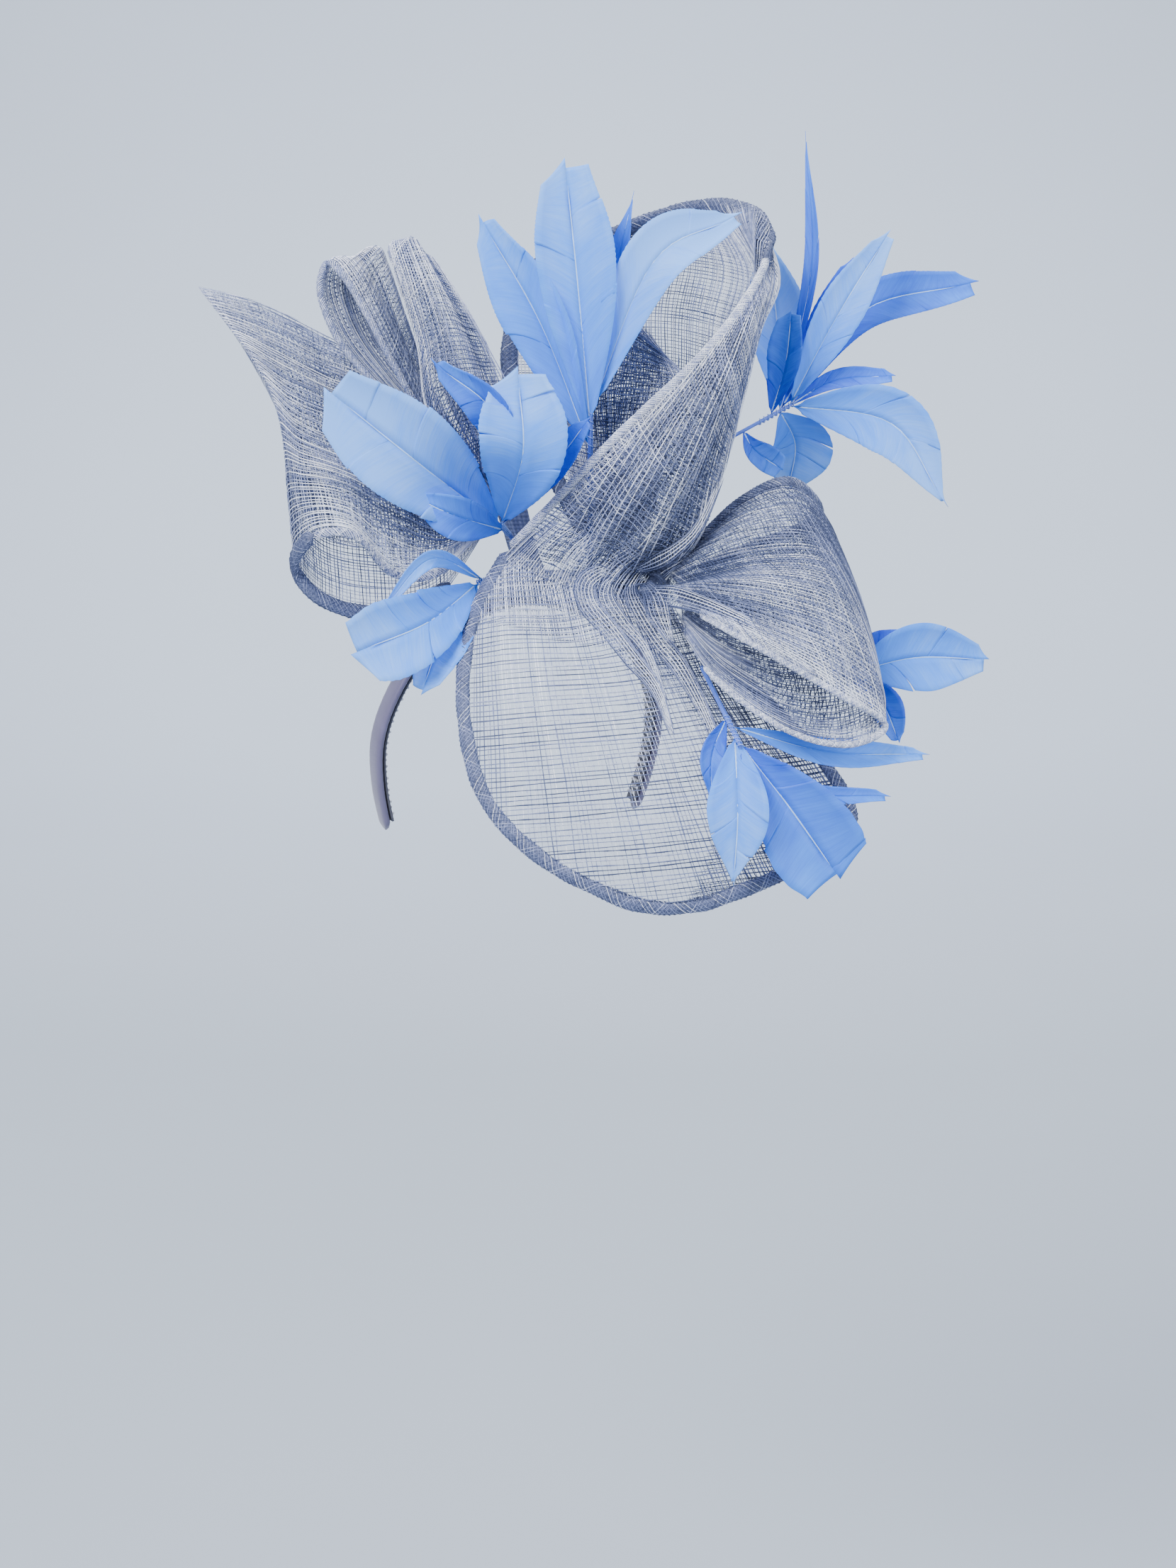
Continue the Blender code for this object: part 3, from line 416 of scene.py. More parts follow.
# Threads. Warps lie on one side of a layer and wefts on the other, they are unevenly thick, and the saucer's
# drift by a share of their spacing. Shades run from dark at 0 to light at 1, and vary from thread to thread.
# Lines that are only measured have so many samples. Strands have pointed ends.
THREAD_SIDE = 0.00016
SLUB = 0.22
WARP_SHADE = 0.65
WEFT_SHADE = 0.31
SHADE_SPREAD = 0.16
THREAD_DRIFT = 0.14
SAMPLES = 60
POINTED = 0.02

# The saucer's warps hang straight at their left end and fan out towards the rim, and its wefts tilt.
FAN_LEFT = -0.085
FAN_SPREAD = 0.9
FAN_CLOSER = 0.62
WEFT_TILT = 0.10

# Painted shade: the hole in the twist darkens the threads round it, most at its middle.
HOLLOW_PAINTED_SHADE = 0.75
HOLLOW_REACH = 0.011

# The gathers wind round the hole of the twist, in pleats that swell, over a dish.
GATHER_RADIUS = 0.021
HOLE_RADIUS = 0.0016
GATHER_PLEATS = 7
GATHER_SPOKES = 110
GATHER_TURN = 1.9
GATHER_SWELL = 0.0021
GATHER_DISH = 0.0085

# A fold near the twist: how far its sides tuck under in radians, its height as a share of its half width, the
# steps along it, how far apart the threads lie that run along it and round it, and how far the latter slant.
FOLD_TUCK = 0.5
FOLD_HEIGHT = 0.6
FOLD_STEP = 0.005
FOLD_WARP = 0.0014
FOLD_WEFT = 0.0023
FOLD_SLANT = 0.0028

# A roll's girth in half widths, the steps along it, and the bias threads that start side by side on it.
ROLL_GIRTH = 5.1
ROLL_STEP = 0.0026
ROLL_STARTS = 8
ROLL_THREAD = 0.00024

# A strand: its line of points in the object's own frame, its width along it, and its shade or tone.
Strand = namedtuple("Strand", "line width value")


def colour_setting(name, description, value):
    return bpy.props.FloatVectorProperty(
        name=name, description=description, default=value, subtype="COLOR", min=0.0, max=1.0)


def power_setting(name, description, value):
    return bpy.props.FloatProperty(
        name=name, description=description, default=value, min=0.0, max=500.0, unit="POWER")


class FascinatorCloth(bpy.types.PropertyGroup):
    """The woven cloth and its rolled edges."""
    thread_radius: bpy.props.FloatProperty(
        name="Thread radius", description="Half the width of one sinamay thread",
        default=0.00027, min=0.0001, max=0.001, unit="LENGTH", precision=5)
    irregular: bpy.props.FloatProperty(
        name="Irregularity", description="How unevenly the threads lie, as a share of their spacing",
        default=0.15, min=0.0, max=1.0, subtype="FACTOR")
    dark: colour_setting("Dark thread", "Colour of the darkest threads", (0.046, 0.062, 0.140))
    middle: colour_setting("Middle thread", "Colour of the usual threads", (0.230, 0.275, 0.480))
    light: colour_setting("Light thread", "Colour of the silvery threads", (0.86, 0.90, 1.00))


class FascinatorFeathers(bpy.types.PropertyGroup):
    """The trimmed goose feathers."""
    light: colour_setting("Light blue", "Colour of the light blades", (0.060, 0.290, 1.000))
    deep: colour_setting("Deep blue", "Colour of the darkest blades", (0.012, 0.055, 0.600))
    quill: colour_setting("Quill", "Colour of the quills", (0.40, 0.66, 1.0))


class FascinatorBand(bpy.types.PropertyGroup):
    """The satin headband and its comb."""
    satin: colour_setting("Satin", "Colour of the satin cover", (0.140, 0.126, 0.225))
    comb: colour_setting("Comb", "Colour of the grip tape in the band", (0.090, 0.092, 0.120))
    teeth: bpy.props.IntProperty(
        name="Rows of teeth", description="Rows of teeth along the grip tape", default=96, min=10, max=200)


class FascinatorStage(bpy.types.PropertyGroup):
    """The floor, the backdrop, the lights and the camera."""
    paper: colour_setting("Backdrop", "Colour of the floor and the backdrop", (0.530, 0.600, 0.710))
    distance: bpy.props.FloatProperty(
        name="Camera distance", description="How far the camera stands from the head seat",
        default=2.30, min=0.5, max=10.0, unit="LENGTH")
    key: power_setting("Key light", "Power of the main light", 82.0)
    fill: power_setting("Fill light", "Power of the fill light", 25.0)


# Points on curves and sheets

def weights(count, shares):
    """Catmull-Rom weights, a row for each share, of evenly spaced points of which there are count."""
    place = np.clip(shares, 0.0, 1.0) * (count - 1)
    first = np.minimum(place.astype(int), count - 2)
    t = place - first
    before = (-t + 2 * t ** 2 - t ** 3) / 2
    start = (2 - 5 * t ** 2 + 3 * t ** 3) / 2
    end = (t + 4 * t ** 2 - 3 * t ** 3) / 2
    after = (t ** 3 - t ** 2) / 2
    rows = np.arange(len(t))
    made = np.zeros((len(t), count))
    at_start = first == 0
    at_end = first == count - 2
    np.add.at(made, (rows, first), start + 2 * before * at_start - after * at_end)
    np.add.at(made, (rows, first + 1), end - before * at_start + 2 * after * at_end)
    np.add.at(made, (rows, np.maximum(first - 1, 0)), before * ~at_start)
    np.add.at(made, (rows, np.minimum(first + 2, count - 1)), after * ~at_end)
    return made


def through(points, shares):
    """Points at these shares along a smooth curve through the given points."""
    return weights(len(points), np.asarray(shares, float)) @ np.asarray(points, float)


def unit(vectors):
    return vectors / np.maximum(np.linalg.norm(vectors, axis=-1, keepdims=True), 1e-9)


def lengths_along(line):
    """How far along a line of points each of them lies."""
    return np.concatenate([[0], np.cumsum(np.linalg.norm(np.diff(line, axis=0), axis=1))])


def length_of(line):
    return np.linalg.norm(np.diff(line, axis=0), axis=1).sum()


def to_world(points):
    """Points of the trim frame, in the object's own frame."""
    return points @ TRIM.T


def cloth_named(node):
    return next(cloth for cloth in CLOTHS if cloth.node == node)


def placed(cloth):
    """The points of a cloth's table, in the trim frame."""
    return cloth.anchor + np.array(cloth.table) * np.array(cloth.size)


def flat_points(rows, along, across):
    """Points of the bare table's sheet, with no ripples."""
    by_row = weights(rows.shape[0], along)
    by_column = weights(rows.shape[1], across)
    return np.einsum("nr,nc,rcd->nd", by_row, by_column, rows)


def ripple_height(cloth, along, across):
    """How far a cloth's ripples lift it at a place."""
    rise = np.zeros(len(along))
    for ripple in (Ripple(*row) for row in cloth.ripples):
        middle = (ripple.start + ripple.end) / 2
        reach = (ripple.end - ripple.start) / 2
        near = np.clip(1 - ((along - middle) / reach) ** 2, 0, 1)
        waves = 2 * pi * (ripple.across * across + ripple.along * along) + ripple.phase
        rise = rise + ripple.height * near * np.sin(waves)
    return rise


def sheet_points(cloth, along, across, lift=0.0):
    """Points of a cloth in the trim frame, with its ripples, lifted off along its normal."""
    rows = placed(cloth)
    step = NORMAL_STEP
    run = flat_points(rows, along + step, across) - flat_points(rows, along - step, across)
    side = flat_points(rows, along, across + step) - flat_points(rows, along, across - step)
    rise = lift + ripple_height(cloth, along, across)
    edge = np.clip(np.minimum(across, 1 - across) / RIPPLE_EDGE, 0, 1)
    return flat_points(rows, along, across) + unit(np.cross(run, side)) * (rise * edge)[:, None]


def painted_light_on(cloth, along, across):
    """The painted light on a cloth at a place: the painted highlights and shade of its spots, and painted
    shade where ripples rise and painted light where they sink.
    """
    tone = -RIPPLE_PAINTED_SHADE * ripple_height(cloth, along, across)
    for at_along, at_across, length, width, amount in PAINTED_LIGHT_SPOTS[cloth.node]:
        away = ((along - at_along) / length) ** 2 + ((across - at_across) / width) ** 2
        tone = tone + amount * np.exp(-away)
    return tone


# Meshes

def grid_mesh(name, cells_along, cells_across, place):
    """A grid whose points are put where place(along, across) says. Its UV map holds both shares."""
    bm = bmesh.new()
    bm.loops.layers.uv.new("UVMap")
    bmesh.ops.create_grid(bm, x_segments=cells_along, y_segments=cells_across, size=0.5, calc_uvs=True)
    spots = np.array([vert.co for vert in bm.verts]) + 0.5
    for vert, point in zip(bm.verts, place(spots[:, 0], spots[:, 1])):
        vert.co = point
    mesh = bpy.data.meshes.new(name)
    bm.to_mesh(mesh)
    bm.free()
    return mesh


def close_seams(mesh, within=0.00003):
    """Joins the points of a mesh that lie on each other."""
    bm = bmesh.new()
    bm.from_mesh(mesh)
    bmesh.ops.remove_doubles(bm, verts=bm.verts, dist=within)
    bmesh.ops.recalc_face_normals(bm, faces=bm.faces)
    bm.to_mesh(mesh)
    bm.free()
    return mesh


def object_of(name, mesh, material):
    """A smooth object in the scene, at the origin, with one material."""
    made = bpy.data.objects.new(name, mesh)
    bpy.context.scene.collection.objects.link(made)
    mesh.materials.clear()
    mesh.materials.append(material)
    mesh.shade_smooth()
    return made


def change_uv(mesh, change):
    """Puts the points of a mesh's UV map where change(uv) says."""
    layer = mesh.uv_layers[0].data
    uv = np.empty(len(layer) * 2, np.float32)
    layer.foreach_get("uv", uv)
    layer.foreach_set("uv", np.asarray(change(uv.reshape(-1, 2)), np.float32).ravel())
    return mesh


def set_values(mesh, attribute, values):
    made = mesh.attributes.new(attribute, "FLOAT", "POINT")
    made.data.foreach_set("value", np.full(len(mesh.vertices), values, np.float32))


def strands_mesh(name, strands, radius, sides=0, attribute="shade"):
    """Tubes along strands with pointed ends, as one mesh that keeps the strands' values in an attribute."""
    curve = bpy.data.curves.new(name, "CURVE")
    curve.dimensions = "3D"
    curve.bevel_depth = radius
    curve.bevel_resolution = sides
    for line, width, _ in strands:
        spline = curve.splines.new("POLY")
        spline.points.add(len(line) - 1)
        spots = np.ones((len(line), 4))
        spots[:, :3] = line
        spline.points.foreach_set("co", spots.ravel())
        widths = width * np.ones(len(line))
        widths[[0, -1]] = POINTED
        spline.points.foreach_set("radius", widths)
    holder = bpy.data.objects.new(name, curve)
    bpy.context.scene.collection.objects.link(holder)
    graph = bpy.context.evaluated_depsgraph_get()
    mesh = bpy.data.meshes.new_from_object(holder.evaluated_get(graph))
    bpy.data.objects.remove(holder)
    bpy.data.curves.remove(curve)
    ring = len(mesh.vertices) // sum(len(strand.line) for strand in strands)
    values = [np.repeat(value + np.zeros(len(line)), ring) for line, _, value in strands]
    set_values(mesh, attribute, np.concatenate(values))
    return mesh


def joined(name, meshes, material):
    """One object of several meshes."""
    bm = bmesh.new()
    for mesh in meshes:
        bm.from_mesh(mesh)
        bpy.data.meshes.remove(mesh)
    mesh = bpy.data.meshes.new(name)
    bm.to_mesh(mesh)
    bm.free()
    return object_of(name, mesh, material)


def finish_piece(made, slot, *nodes):
    """Says what body a piece rides, and hides the nodes that it replaces. Its slot is not used."""
    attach(made, BODY)
    if nodes:
        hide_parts(*nodes)
    return made


# Node groups and materials

def new_group(name, inputs, outputs):
    """A shader group with named sockets. Returns it with its own input and output nodes."""
    group = bpy.data.node_groups.new(name, "ShaderNodeTree")
    for label, kind, value in inputs:
        socket = group.interface.new_socket(label, in_out="INPUT", socket_type=kind)
        socket.default_value = value
    for label, kind in outputs:
        group.interface.new_socket(label, in_out="OUTPUT", socket_type=kind)
    return group, group.nodes.new("NodeGroupInput"), group.nodes.new("NodeGroupOutput")


def maths(tree, operation, first, second=0.0, third=None):
    """A Math node. Each value is a number or a socket."""
    node = tree.nodes.new("ShaderNodeMath")
    node.operation = operation
    for index, value in enumerate((first, second, third)):
        if isinstance(value, bpy.types.NodeSocket):
            tree.links.new(value, node.inputs[index])
        elif value is not None:
            node.inputs[index].default_value = value
    return node.outputs[0]


def mixed(tree, share, first, second, blend="MIX"):
    """A colour mix. Each colour is a tuple or a socket."""
    node = tree.nodes.new("ShaderNodeMix")
    node.data_type = "RGBA"
    node.blend_type = blend
    for socket, value in ((node.inputs[0], share), (node.inputs[6], first), (node.inputs[7], second)):
        if isinstance(value, bpy.types.NodeSocket):
            tree.links.new(value, socket)
        else:
            socket.default_value = value
    return node.outputs[2]


def noise(tree, vector, scale, detail=3.0, roughness=0.55):
    node = tree.nodes.new("ShaderNodeTexNoise")
    node.inputs["Scale"].default_value = scale
    node.inputs["Detail"].default_value = detail
    node.inputs["Roughness"].default_value = roughness
    tree.links.new(vector, node.inputs["Vector"])
    return node.outputs["Fac"]


def mapped(tree, vector, scale=(1.0, 1.0, 1.0), turn=0.0):
    node = tree.nodes.new("ShaderNodeMapping")
    node.inputs["Scale"].default_value = scale
    node.inputs["Rotation"].default_value = (0.0, 0.0, turn)
    tree.links.new(vector, node.inputs["Vector"])
    return node.outputs["Vector"]


def colour_ramp(tree, share, stops):
    node = tree.nodes.new("ShaderNodeValToRGB")
    ramp = node.color_ramp
    while len(ramp.elements) < len(stops):
        ramp.elements.new(0.5)
    for element, (place, colour) in zip(ramp.elements, stops):
        element.position = place
        element.color = (*colour[:3], 1.0)
    tree.links.new(share, node.inputs["Fac"])
    return node.outputs["Color"]


def bumped(tree, shader, height, strength, distance):
    """Joins a height to a shader as a bump."""
    node = tree.nodes.new("ShaderNodeBump")
    node.inputs["Strength"].default_value = strength
    node.inputs["Distance"].default_value = distance
    tree.links.new(height, node.inputs["Height"])
    tree.links.new(node.outputs["Normal"], shader.inputs["Normal"])


def new_material(name, **sockets):
    """A material with a Principled shader, whose constant sockets are set here."""
    made = bpy.data.materials.new(name)
    made.use_nodes = True
    shader = made.node_tree.nodes["Principled BSDF"]
    for label, value in sockets.items():
        shader.inputs[label.replace("_", " ")].default_value = value
    return made, made.node_tree, shader


def coordinates(tree, output="Object"):
    return tree.nodes.new("ShaderNodeTexCoord").outputs[output]


def attribute_value(tree, name):
    node = tree.nodes.new("ShaderNodeAttribute")
    node.attribute_name = name
    return node.outputs["Fac"]


def mottle_group():
    """Slow and fine variation of a colour over a piece, in metres."""
    if "mottle" in bpy.data.node_groups:
        return bpy.data.node_groups["mottle"]
    group, given, out = new_group("mottle", (
        ("Vector", "NodeSocketVector", (0.0, 0.0, 0.0)),
        ("Colour", "NodeSocketColor", (0.5, 0.5, 0.5, 1.0)),
        ("Strength", "NodeSocketFloat", 0.3),
        ("Scale", "NodeSocketFloat", 60.0),
    ), (("Colour", "NodeSocketColor"), ("Mask", "NodeSocketFloat")))
    node = group.nodes.new("ShaderNodeTexNoise")
    node.inputs["Detail"].default_value = 4.0
    group.links.new(given.outputs["Vector"], node.inputs["Vector"])
    group.links.new(given.outputs["Scale"], node.inputs["Scale"])
    lift = maths(group, "SUBTRACT", node.outputs["Fac"], 0.5)
    spread = maths(group, "MULTIPLY", lift, given.outputs["Strength"])
    value = maths(group, "MULTIPLY_ADD", spread, 2.0, 1.0)
    shade = group.nodes.new("ShaderNodeHueSaturation")
    group.links.new(value, shade.inputs["Value"])
    group.links.new(given.outputs["Colour"], shade.inputs["Color"])
    group.links.new(shade.outputs["Color"], out.inputs["Colour"])
    group.links.new(node.outputs["Fac"], out.inputs["Mask"])
    return group


def weave_group():
    """A fine plain weave on a UV map: a height, and a mask of which thread lies on top."""
    if "fine_weave" in bpy.data.node_groups:
        return bpy.data.node_groups["fine_weave"]
    group, given, out = new_group("fine_weave", (
        ("Vector", "NodeSocketVector", (0.0, 0.0, 0.0)),
        ("Threads", "NodeSocketFloat", 100.0),
    ), (("Height", "NodeSocketFloat"), ("Mask", "NodeSocketFloat")))
    scaled = group.nodes.new("ShaderNodeVectorMath")
    scaled.operation = "SCALE"
    group.links.new(given.outputs["Vector"], scaled.inputs[0])
    group.links.new(given.outputs["Threads"], scaled.inputs["Scale"])
    parts = group.nodes.new("ShaderNodeSeparateXYZ")
    group.links.new(scaled.outputs[0], parts.inputs[0])
    first = maths(group, "SINE", maths(group, "MULTIPLY", parts.outputs["X"], 2 * pi))
    second = maths(group, "SINE", maths(group, "MULTIPLY", parts.outputs["Y"], 2 * pi))
    over = maths(group, "MULTIPLY", first, second)
    ridges = maths(group, "MAXIMUM", maths(group, "ABSOLUTE", first), maths(group, "ABSOLUTE", second))
    height = maths(group, "MULTIPLY_ADD", over, 0.35, ridges)
    group.links.new(height, out.inputs["Height"])
    group.links.new(maths(group, "MULTIPLY_ADD", over, 0.5, 0.5), out.inputs["Mask"])
    return group


def placed_group(tree, group, **sockets):
    node = tree.nodes.new("ShaderNodeGroup")
    node.node_tree = group
    for label, value in sockets.items():
        if isinstance(value, bpy.types.NodeSocket):
            tree.links.new(value, node.inputs[label])
        else:
            node.inputs[label].default_value = value
    return node


def mottled(tree, shader, colour, strength, scale):
    """Joins a colour to a shader through the mottle, and returns the mottle's mask."""
    tint = placed_group(
        tree, mottle_group(), Vector=coordinates(tree), Colour=colour, Strength=strength, Scale=scale)
    tree.links.new(tint.outputs["Colour"], shader.inputs["Base Color"])
    return tint.outputs["Mask"]


def varied(tree, base, swing, amount):
    """A value that a noise moves up and down by an amount."""
    return maths(tree, "MULTIPLY_ADD", maths(tree, "SUBTRACT", swing, 0.5), amount, base)


def blend(first, second, share):
    """A colour between two others."""
    return tuple((1 - share) * a + share * b for a, b in zip(first, second))


def thread_stops(cloth):
    """The ramp from dark to light threads, as places and colours."""
    return (
        (0.00, cloth.dark),
        (0.30, blend(cloth.dark, cloth.middle, 0.4)),
        (0.52, cloth.middle),
        (0.78, blend(cloth.middle, cloth.light, 0.55)),
        (1.00, cloth.light),
    )


def sinamay_material():
    """Stiff glossy fibres, each with its own shade from navy to silver, which also holds the painted light
    and shade laid on the threads.
    """
    if "sinamay_fibres" in bpy.data.materials:
        return bpy.data.materials["sinamay_fibres"]
    cloth = bpy.context.scene.fascinator_cloth
    made, tree, shader = new_material("sinamay_fibres", Roughness=0.42, Specular_IOR_Level=0.3)
    streak = noise(tree, coordinates(tree), 420.0, 2.0)
    shade = varied(tree, attribute_value(tree, "shade"), streak, 0.55)
    mottled(tree, shader, colour_ramp(tree, shade, thread_stops(cloth)), 0.35, 38.0)
    bumped(tree, shader, streak, 0.25, 0.0002)
    return made


def rolled_material():
    """Several layers of sinamay rolled together, under their bias threads."""
    if "rolled_sinamay" in bpy.data.materials:
        return bpy.data.materials["rolled_sinamay"]
    cloth = bpy.context.scene.fascinator_cloth
    made, tree, shader = new_material("rolled_sinamay", Roughness=0.55)
    place = mapped(tree, coordinates(tree, "UV"), (1.0, 1.0, 1.0), pi / 4)
    weave = placed_group(tree, weave_group(), Vector=place, Threads=330.0)
    fine = noise(tree, coordinates(tree), 700.0, 2.0)
    grain = maths(tree, "MULTIPLY_ADD", fine, 0.22, attribute_value(tree, "shade"))
    share = maths(tree, "MULTIPLY_ADD", weave.outputs["Mask"], 0.30, grain)
    mottled(tree, shader, colour_ramp(tree, share, thread_stops(cloth)), 0.3, 60.0)
    bumped(tree, shader, weave.outputs["Height"], 0.6, 0.0004)
    return made


def feather_material():
    """Dyed barbs that run from the quill to the edge, with a deeper root and a lighter tip."""
    if "dyed_feather" in bpy.data.materials:
        return bpy.data.materials["dyed_feather"]
    feathers = bpy.context.scene.fascinator_feathers
    made, tree, shader = new_material("dyed_feather", Roughness=0.5, Specular_IOR_Level=0.22)
    barbs = mapped(tree, coordinates(tree, "UV"), (150.0, 2.2, 1.0))
    streak = noise(tree, barbs, 1.0, 4.0, 0.65)
    wide = noise(tree, mapped(tree, coordinates(tree, "UV"), (7.0, 1.6, 1.0)), 1.0, 2.0)
    parts = tree.nodes.new("ShaderNodeSeparateXYZ")
    tree.links.new(coordinates(tree, "UV"), parts.inputs[0])
    tone = attribute_value(tree, "tone")
    past = maths(tree, "MULTIPLY_ADD", parts.outputs["X"], -0.46, maths(tree, "ADD", tone, 0.32))
    streaked = varied(tree, varied(tree, past, wide, 0.55), streak, 0.48)
    colour = colour_ramp(tree, streaked, (
        (0.00, blend(feathers.light, PALE_BLUE, 0.35)),
        (0.30, feathers.light),
        (0.65, blend(feathers.light, feathers.deep, 0.5)),
        (1.00, feathers.deep),
    ))
    tree.links.new(colour, shader.inputs["Base Color"])
    bumped(tree, shader, streak, 0.35, 0.0003)
    return made


def quill_material():
    """Pale horny quills and the silk that binds them."""
    if "dyed_quill" in bpy.data.materials:
        return bpy.data.materials["dyed_quill"]
    feathers = bpy.context.scene.fascinator_feathers
    made, tree, shader = new_material("dyed_quill", Roughness=0.35)
    colour = colour_ramp(tree, attribute_value(tree, "tone"), ((0.0, feathers.quill), (1.0, feathers.deep)))
    mask = mottled(tree, shader, colour, 0.35, 180.0)
    bumped(tree, shader, mask, 0.15, 0.0002)
    return made


def satin_material():
    """Satin cover, with its fine weave and the streaks of its pull round the band."""
    if "satin_cover" in bpy.data.materials:
        return bpy.data.materials["satin_cover"]
    band = bpy.context.scene.fascinator_band
    made, tree, shader = new_material("satin_cover", Roughness=0.34, Sheen_Weight=0.4, Sheen_Roughness=0.35)
    uv = coordinates(tree, "UV")
    weave = placed_group(tree, weave_group(), Vector=uv, Threads=2400.0)
    pull = noise(tree, mapped(tree, uv, (420.0, 60.0, 1.0)), 1.0, 3.0)
    mottled(tree, shader, (*band.satin, 1.0), 0.22, 90.0)
    bumped(tree, shader, maths(tree, "MULTIPLY_ADD", weave.outputs["Height"], 0.15, pull), 0.35, 0.0005)
    return made


def comb_material(name, colour, roughness):
    """Ribbed grip tape, or the pale teeth in it."""
    if name in bpy.data.materials:
        return bpy.data.materials[name]
    made, tree, shader = new_material(name, Roughness=roughness)
    mask = mottled(tree, shader, (*colour, 1.0), 0.3, 500.0)
    bumped(tree, shader, mask, 0.3, 0.0003)
    return made


# The woven cloth

def even_positions(line, count, jitter, draw):
    """Shares from 0 to 1 that lie evenly along a line of points, a little disturbed."""
    length = lengths_along(line)
    wanted = (np.arange(count) + 0.5 + draw.uniform(-jitter, jitter, count)) / count
    return np.interp(wanted * length[-1], length, np.linspace(0, 1, len(line)))


def wandering(count, amount, draw):
    """A slow drift along a thread."""
    knots = draw.normal(0, amount, 6)
    return np.interp(np.linspace(0, 5, count), np.arange(6), knots)


def runs_of(keep, least):
    """Start and end of each unbroken run of more true values than the least."""
    edges = np.flatnonzero(np.diff(np.concatenate([[0], keep.astype(int), [0]])))
    return [(start, end) for start, end in zip(edges[::2], edges[1::2]) if end - start > least]


def parameter_threads(cloth, layer, draw, irregular):
    """Threads along a gathered cloth and across it, as (along, across, is_warp)."""
    rows = placed(cloth)
    shares = np.linspace(0, 1, SAMPLES)

    def lengthwise(across):
        return flat_points(rows, shares, np.full(SAMPLES, across))

    def crosswise(along):
        return flat_points(rows, np.full(SAMPLES, along), shares)

    widest = max(length_of(crosswise(along)) for along in (0.25, 0.5, 0.75))
    longest = max(length_of(lengthwise(across)) for across in (0.0, 0.5, 1.0))
    run = np.linspace(0, 1, 2 * SAMPLES)
    for is_warp, reach, spacing in ((True, widest, cloth.warp), (False, longest, cloth.weft)):
        count = max(4, round(reach / spacing))
        middle = crosswise(0.5) if is_warp else lengthwise(0.5)
        for place in even_positions(middle, count, irregular, draw):
            cross = place + wandering(len(run), 0.12 / count, draw) + layer.shear * (run - 0.5)
            along, across = (run, cross) if is_warp else (cross, run)
            keep = (along >= layer.low) & (along <= 1) & (across >= layer.left) & (across <= layer.right)
            for start, end in runs_of(keep, 6):
                yield along[start:end], across[start:end], is_warp


def saucer_threads(cloth, layer, draw, irregular):
    """Level wefts, and warps that hang straight on the left and fan out from the twist on the right."""
    cells = 150
    shares = np.linspace(0, 1, cells)
    along, across = np.meshgrid(shares, shares, indexing="ij")
    points = flat_points(placed(cloth), along.ravel(), across.ravel()).reshape(cells, cells, 3) - TWIST
    fan = 1 + FAN_SPREAD * np.clip(-points[..., 2] / SAUCER_SIZE[2], 0, 1.1)
    warp_field = FAN_LEFT + (points[..., 0] - FAN_LEFT) / fan
    weft_field = points[..., 2] - WEFT_TILT * points[..., 0]
    closer = cloth.warp * FAN_CLOSER
    for field, spacing, begin, drifting, is_warp in (
            (warp_field, closer, abs(layer.shear) * closer, cloth.warp * THREAD_DRIFT, True),
            (weft_field.T, cloth.weft, 0.0, cloth.weft * THREAD_DRIFT, False)):
        for place in np.arange(field.min(), field.max(), spacing) + begin:
            level = place + draw.uniform(-irregular, irregular) * spacing
            drift = wandering(cells, drifting, draw)
            crossed = np.array([np.interp(level + d, f, shares) for d, f in zip(drift, field)])
            along, across = (shares, crossed) if is_warp else (crossed, shares)
            keep = (level > field[:, 0]) & (level < field[:, -1])
            keep &= (across >= layer.left) & (across <= layer.right) & (along >= layer.low)
            for start, end in runs_of(keep, 5):
                yield along[start:end], across[start:end], is_warp


def hollow_painted_shade(points):
    """The painted shade of the threads toward the hole in the twist."""
    apart = np.linalg.norm(points[:, [0, 2]] - TWIST[[0, 2]], axis=1)
    return -HOLLOW_PAINTED_SHADE * np.exp(-(apart / HOLLOW_REACH) ** 2)


def woven_threads(cloth):
    """The threads of all the layers of a cloth, as strands."""
    irregular = bpy.context.scene.fascinator_cloth.irregular
    draw = np.random.default_rng(cloth.seed)
    threads_of = saucer_threads if cloth.node == "saucer" else parameter_threads
    threads = []
    for layer in (Layer(*row) for row in cloth.layers):
        for along, across, is_warp in threads_of(cloth, layer, draw, irregular):
            side = THREAD_SIDE if is_warp else -THREAD_SIDE
            points = sheet_points(cloth, along, across, layer.lift + side)
            count = max(4, ceil(length_of(points) / cloth.step))
            pick = np.unique(np.linspace(0, len(points) - 1, count).round().astype(int))
            slub = 1 + SLUB * draw.normal(0, 1, len(pick)).clip(-1.5, 2.5)
            width = slub * draw.uniform(0.80, 1.20)
            # Each thread's own tone, plus its layer's painted light or shade, the painted highlights and
            # shade of the spots and ripples, and the painted shade toward the hole of the twist.
            shade = draw.normal(WARP_SHADE if is_warp else WEFT_SHADE, SHADE_SPREAD) + layer.shade
            shade = shade + painted_light_on(cloth, along[pick], across[pick]) + hollow_painted_shade(points[pick])
            threads.append(Strand(to_world(points[pick]), width, shade))
    return threads


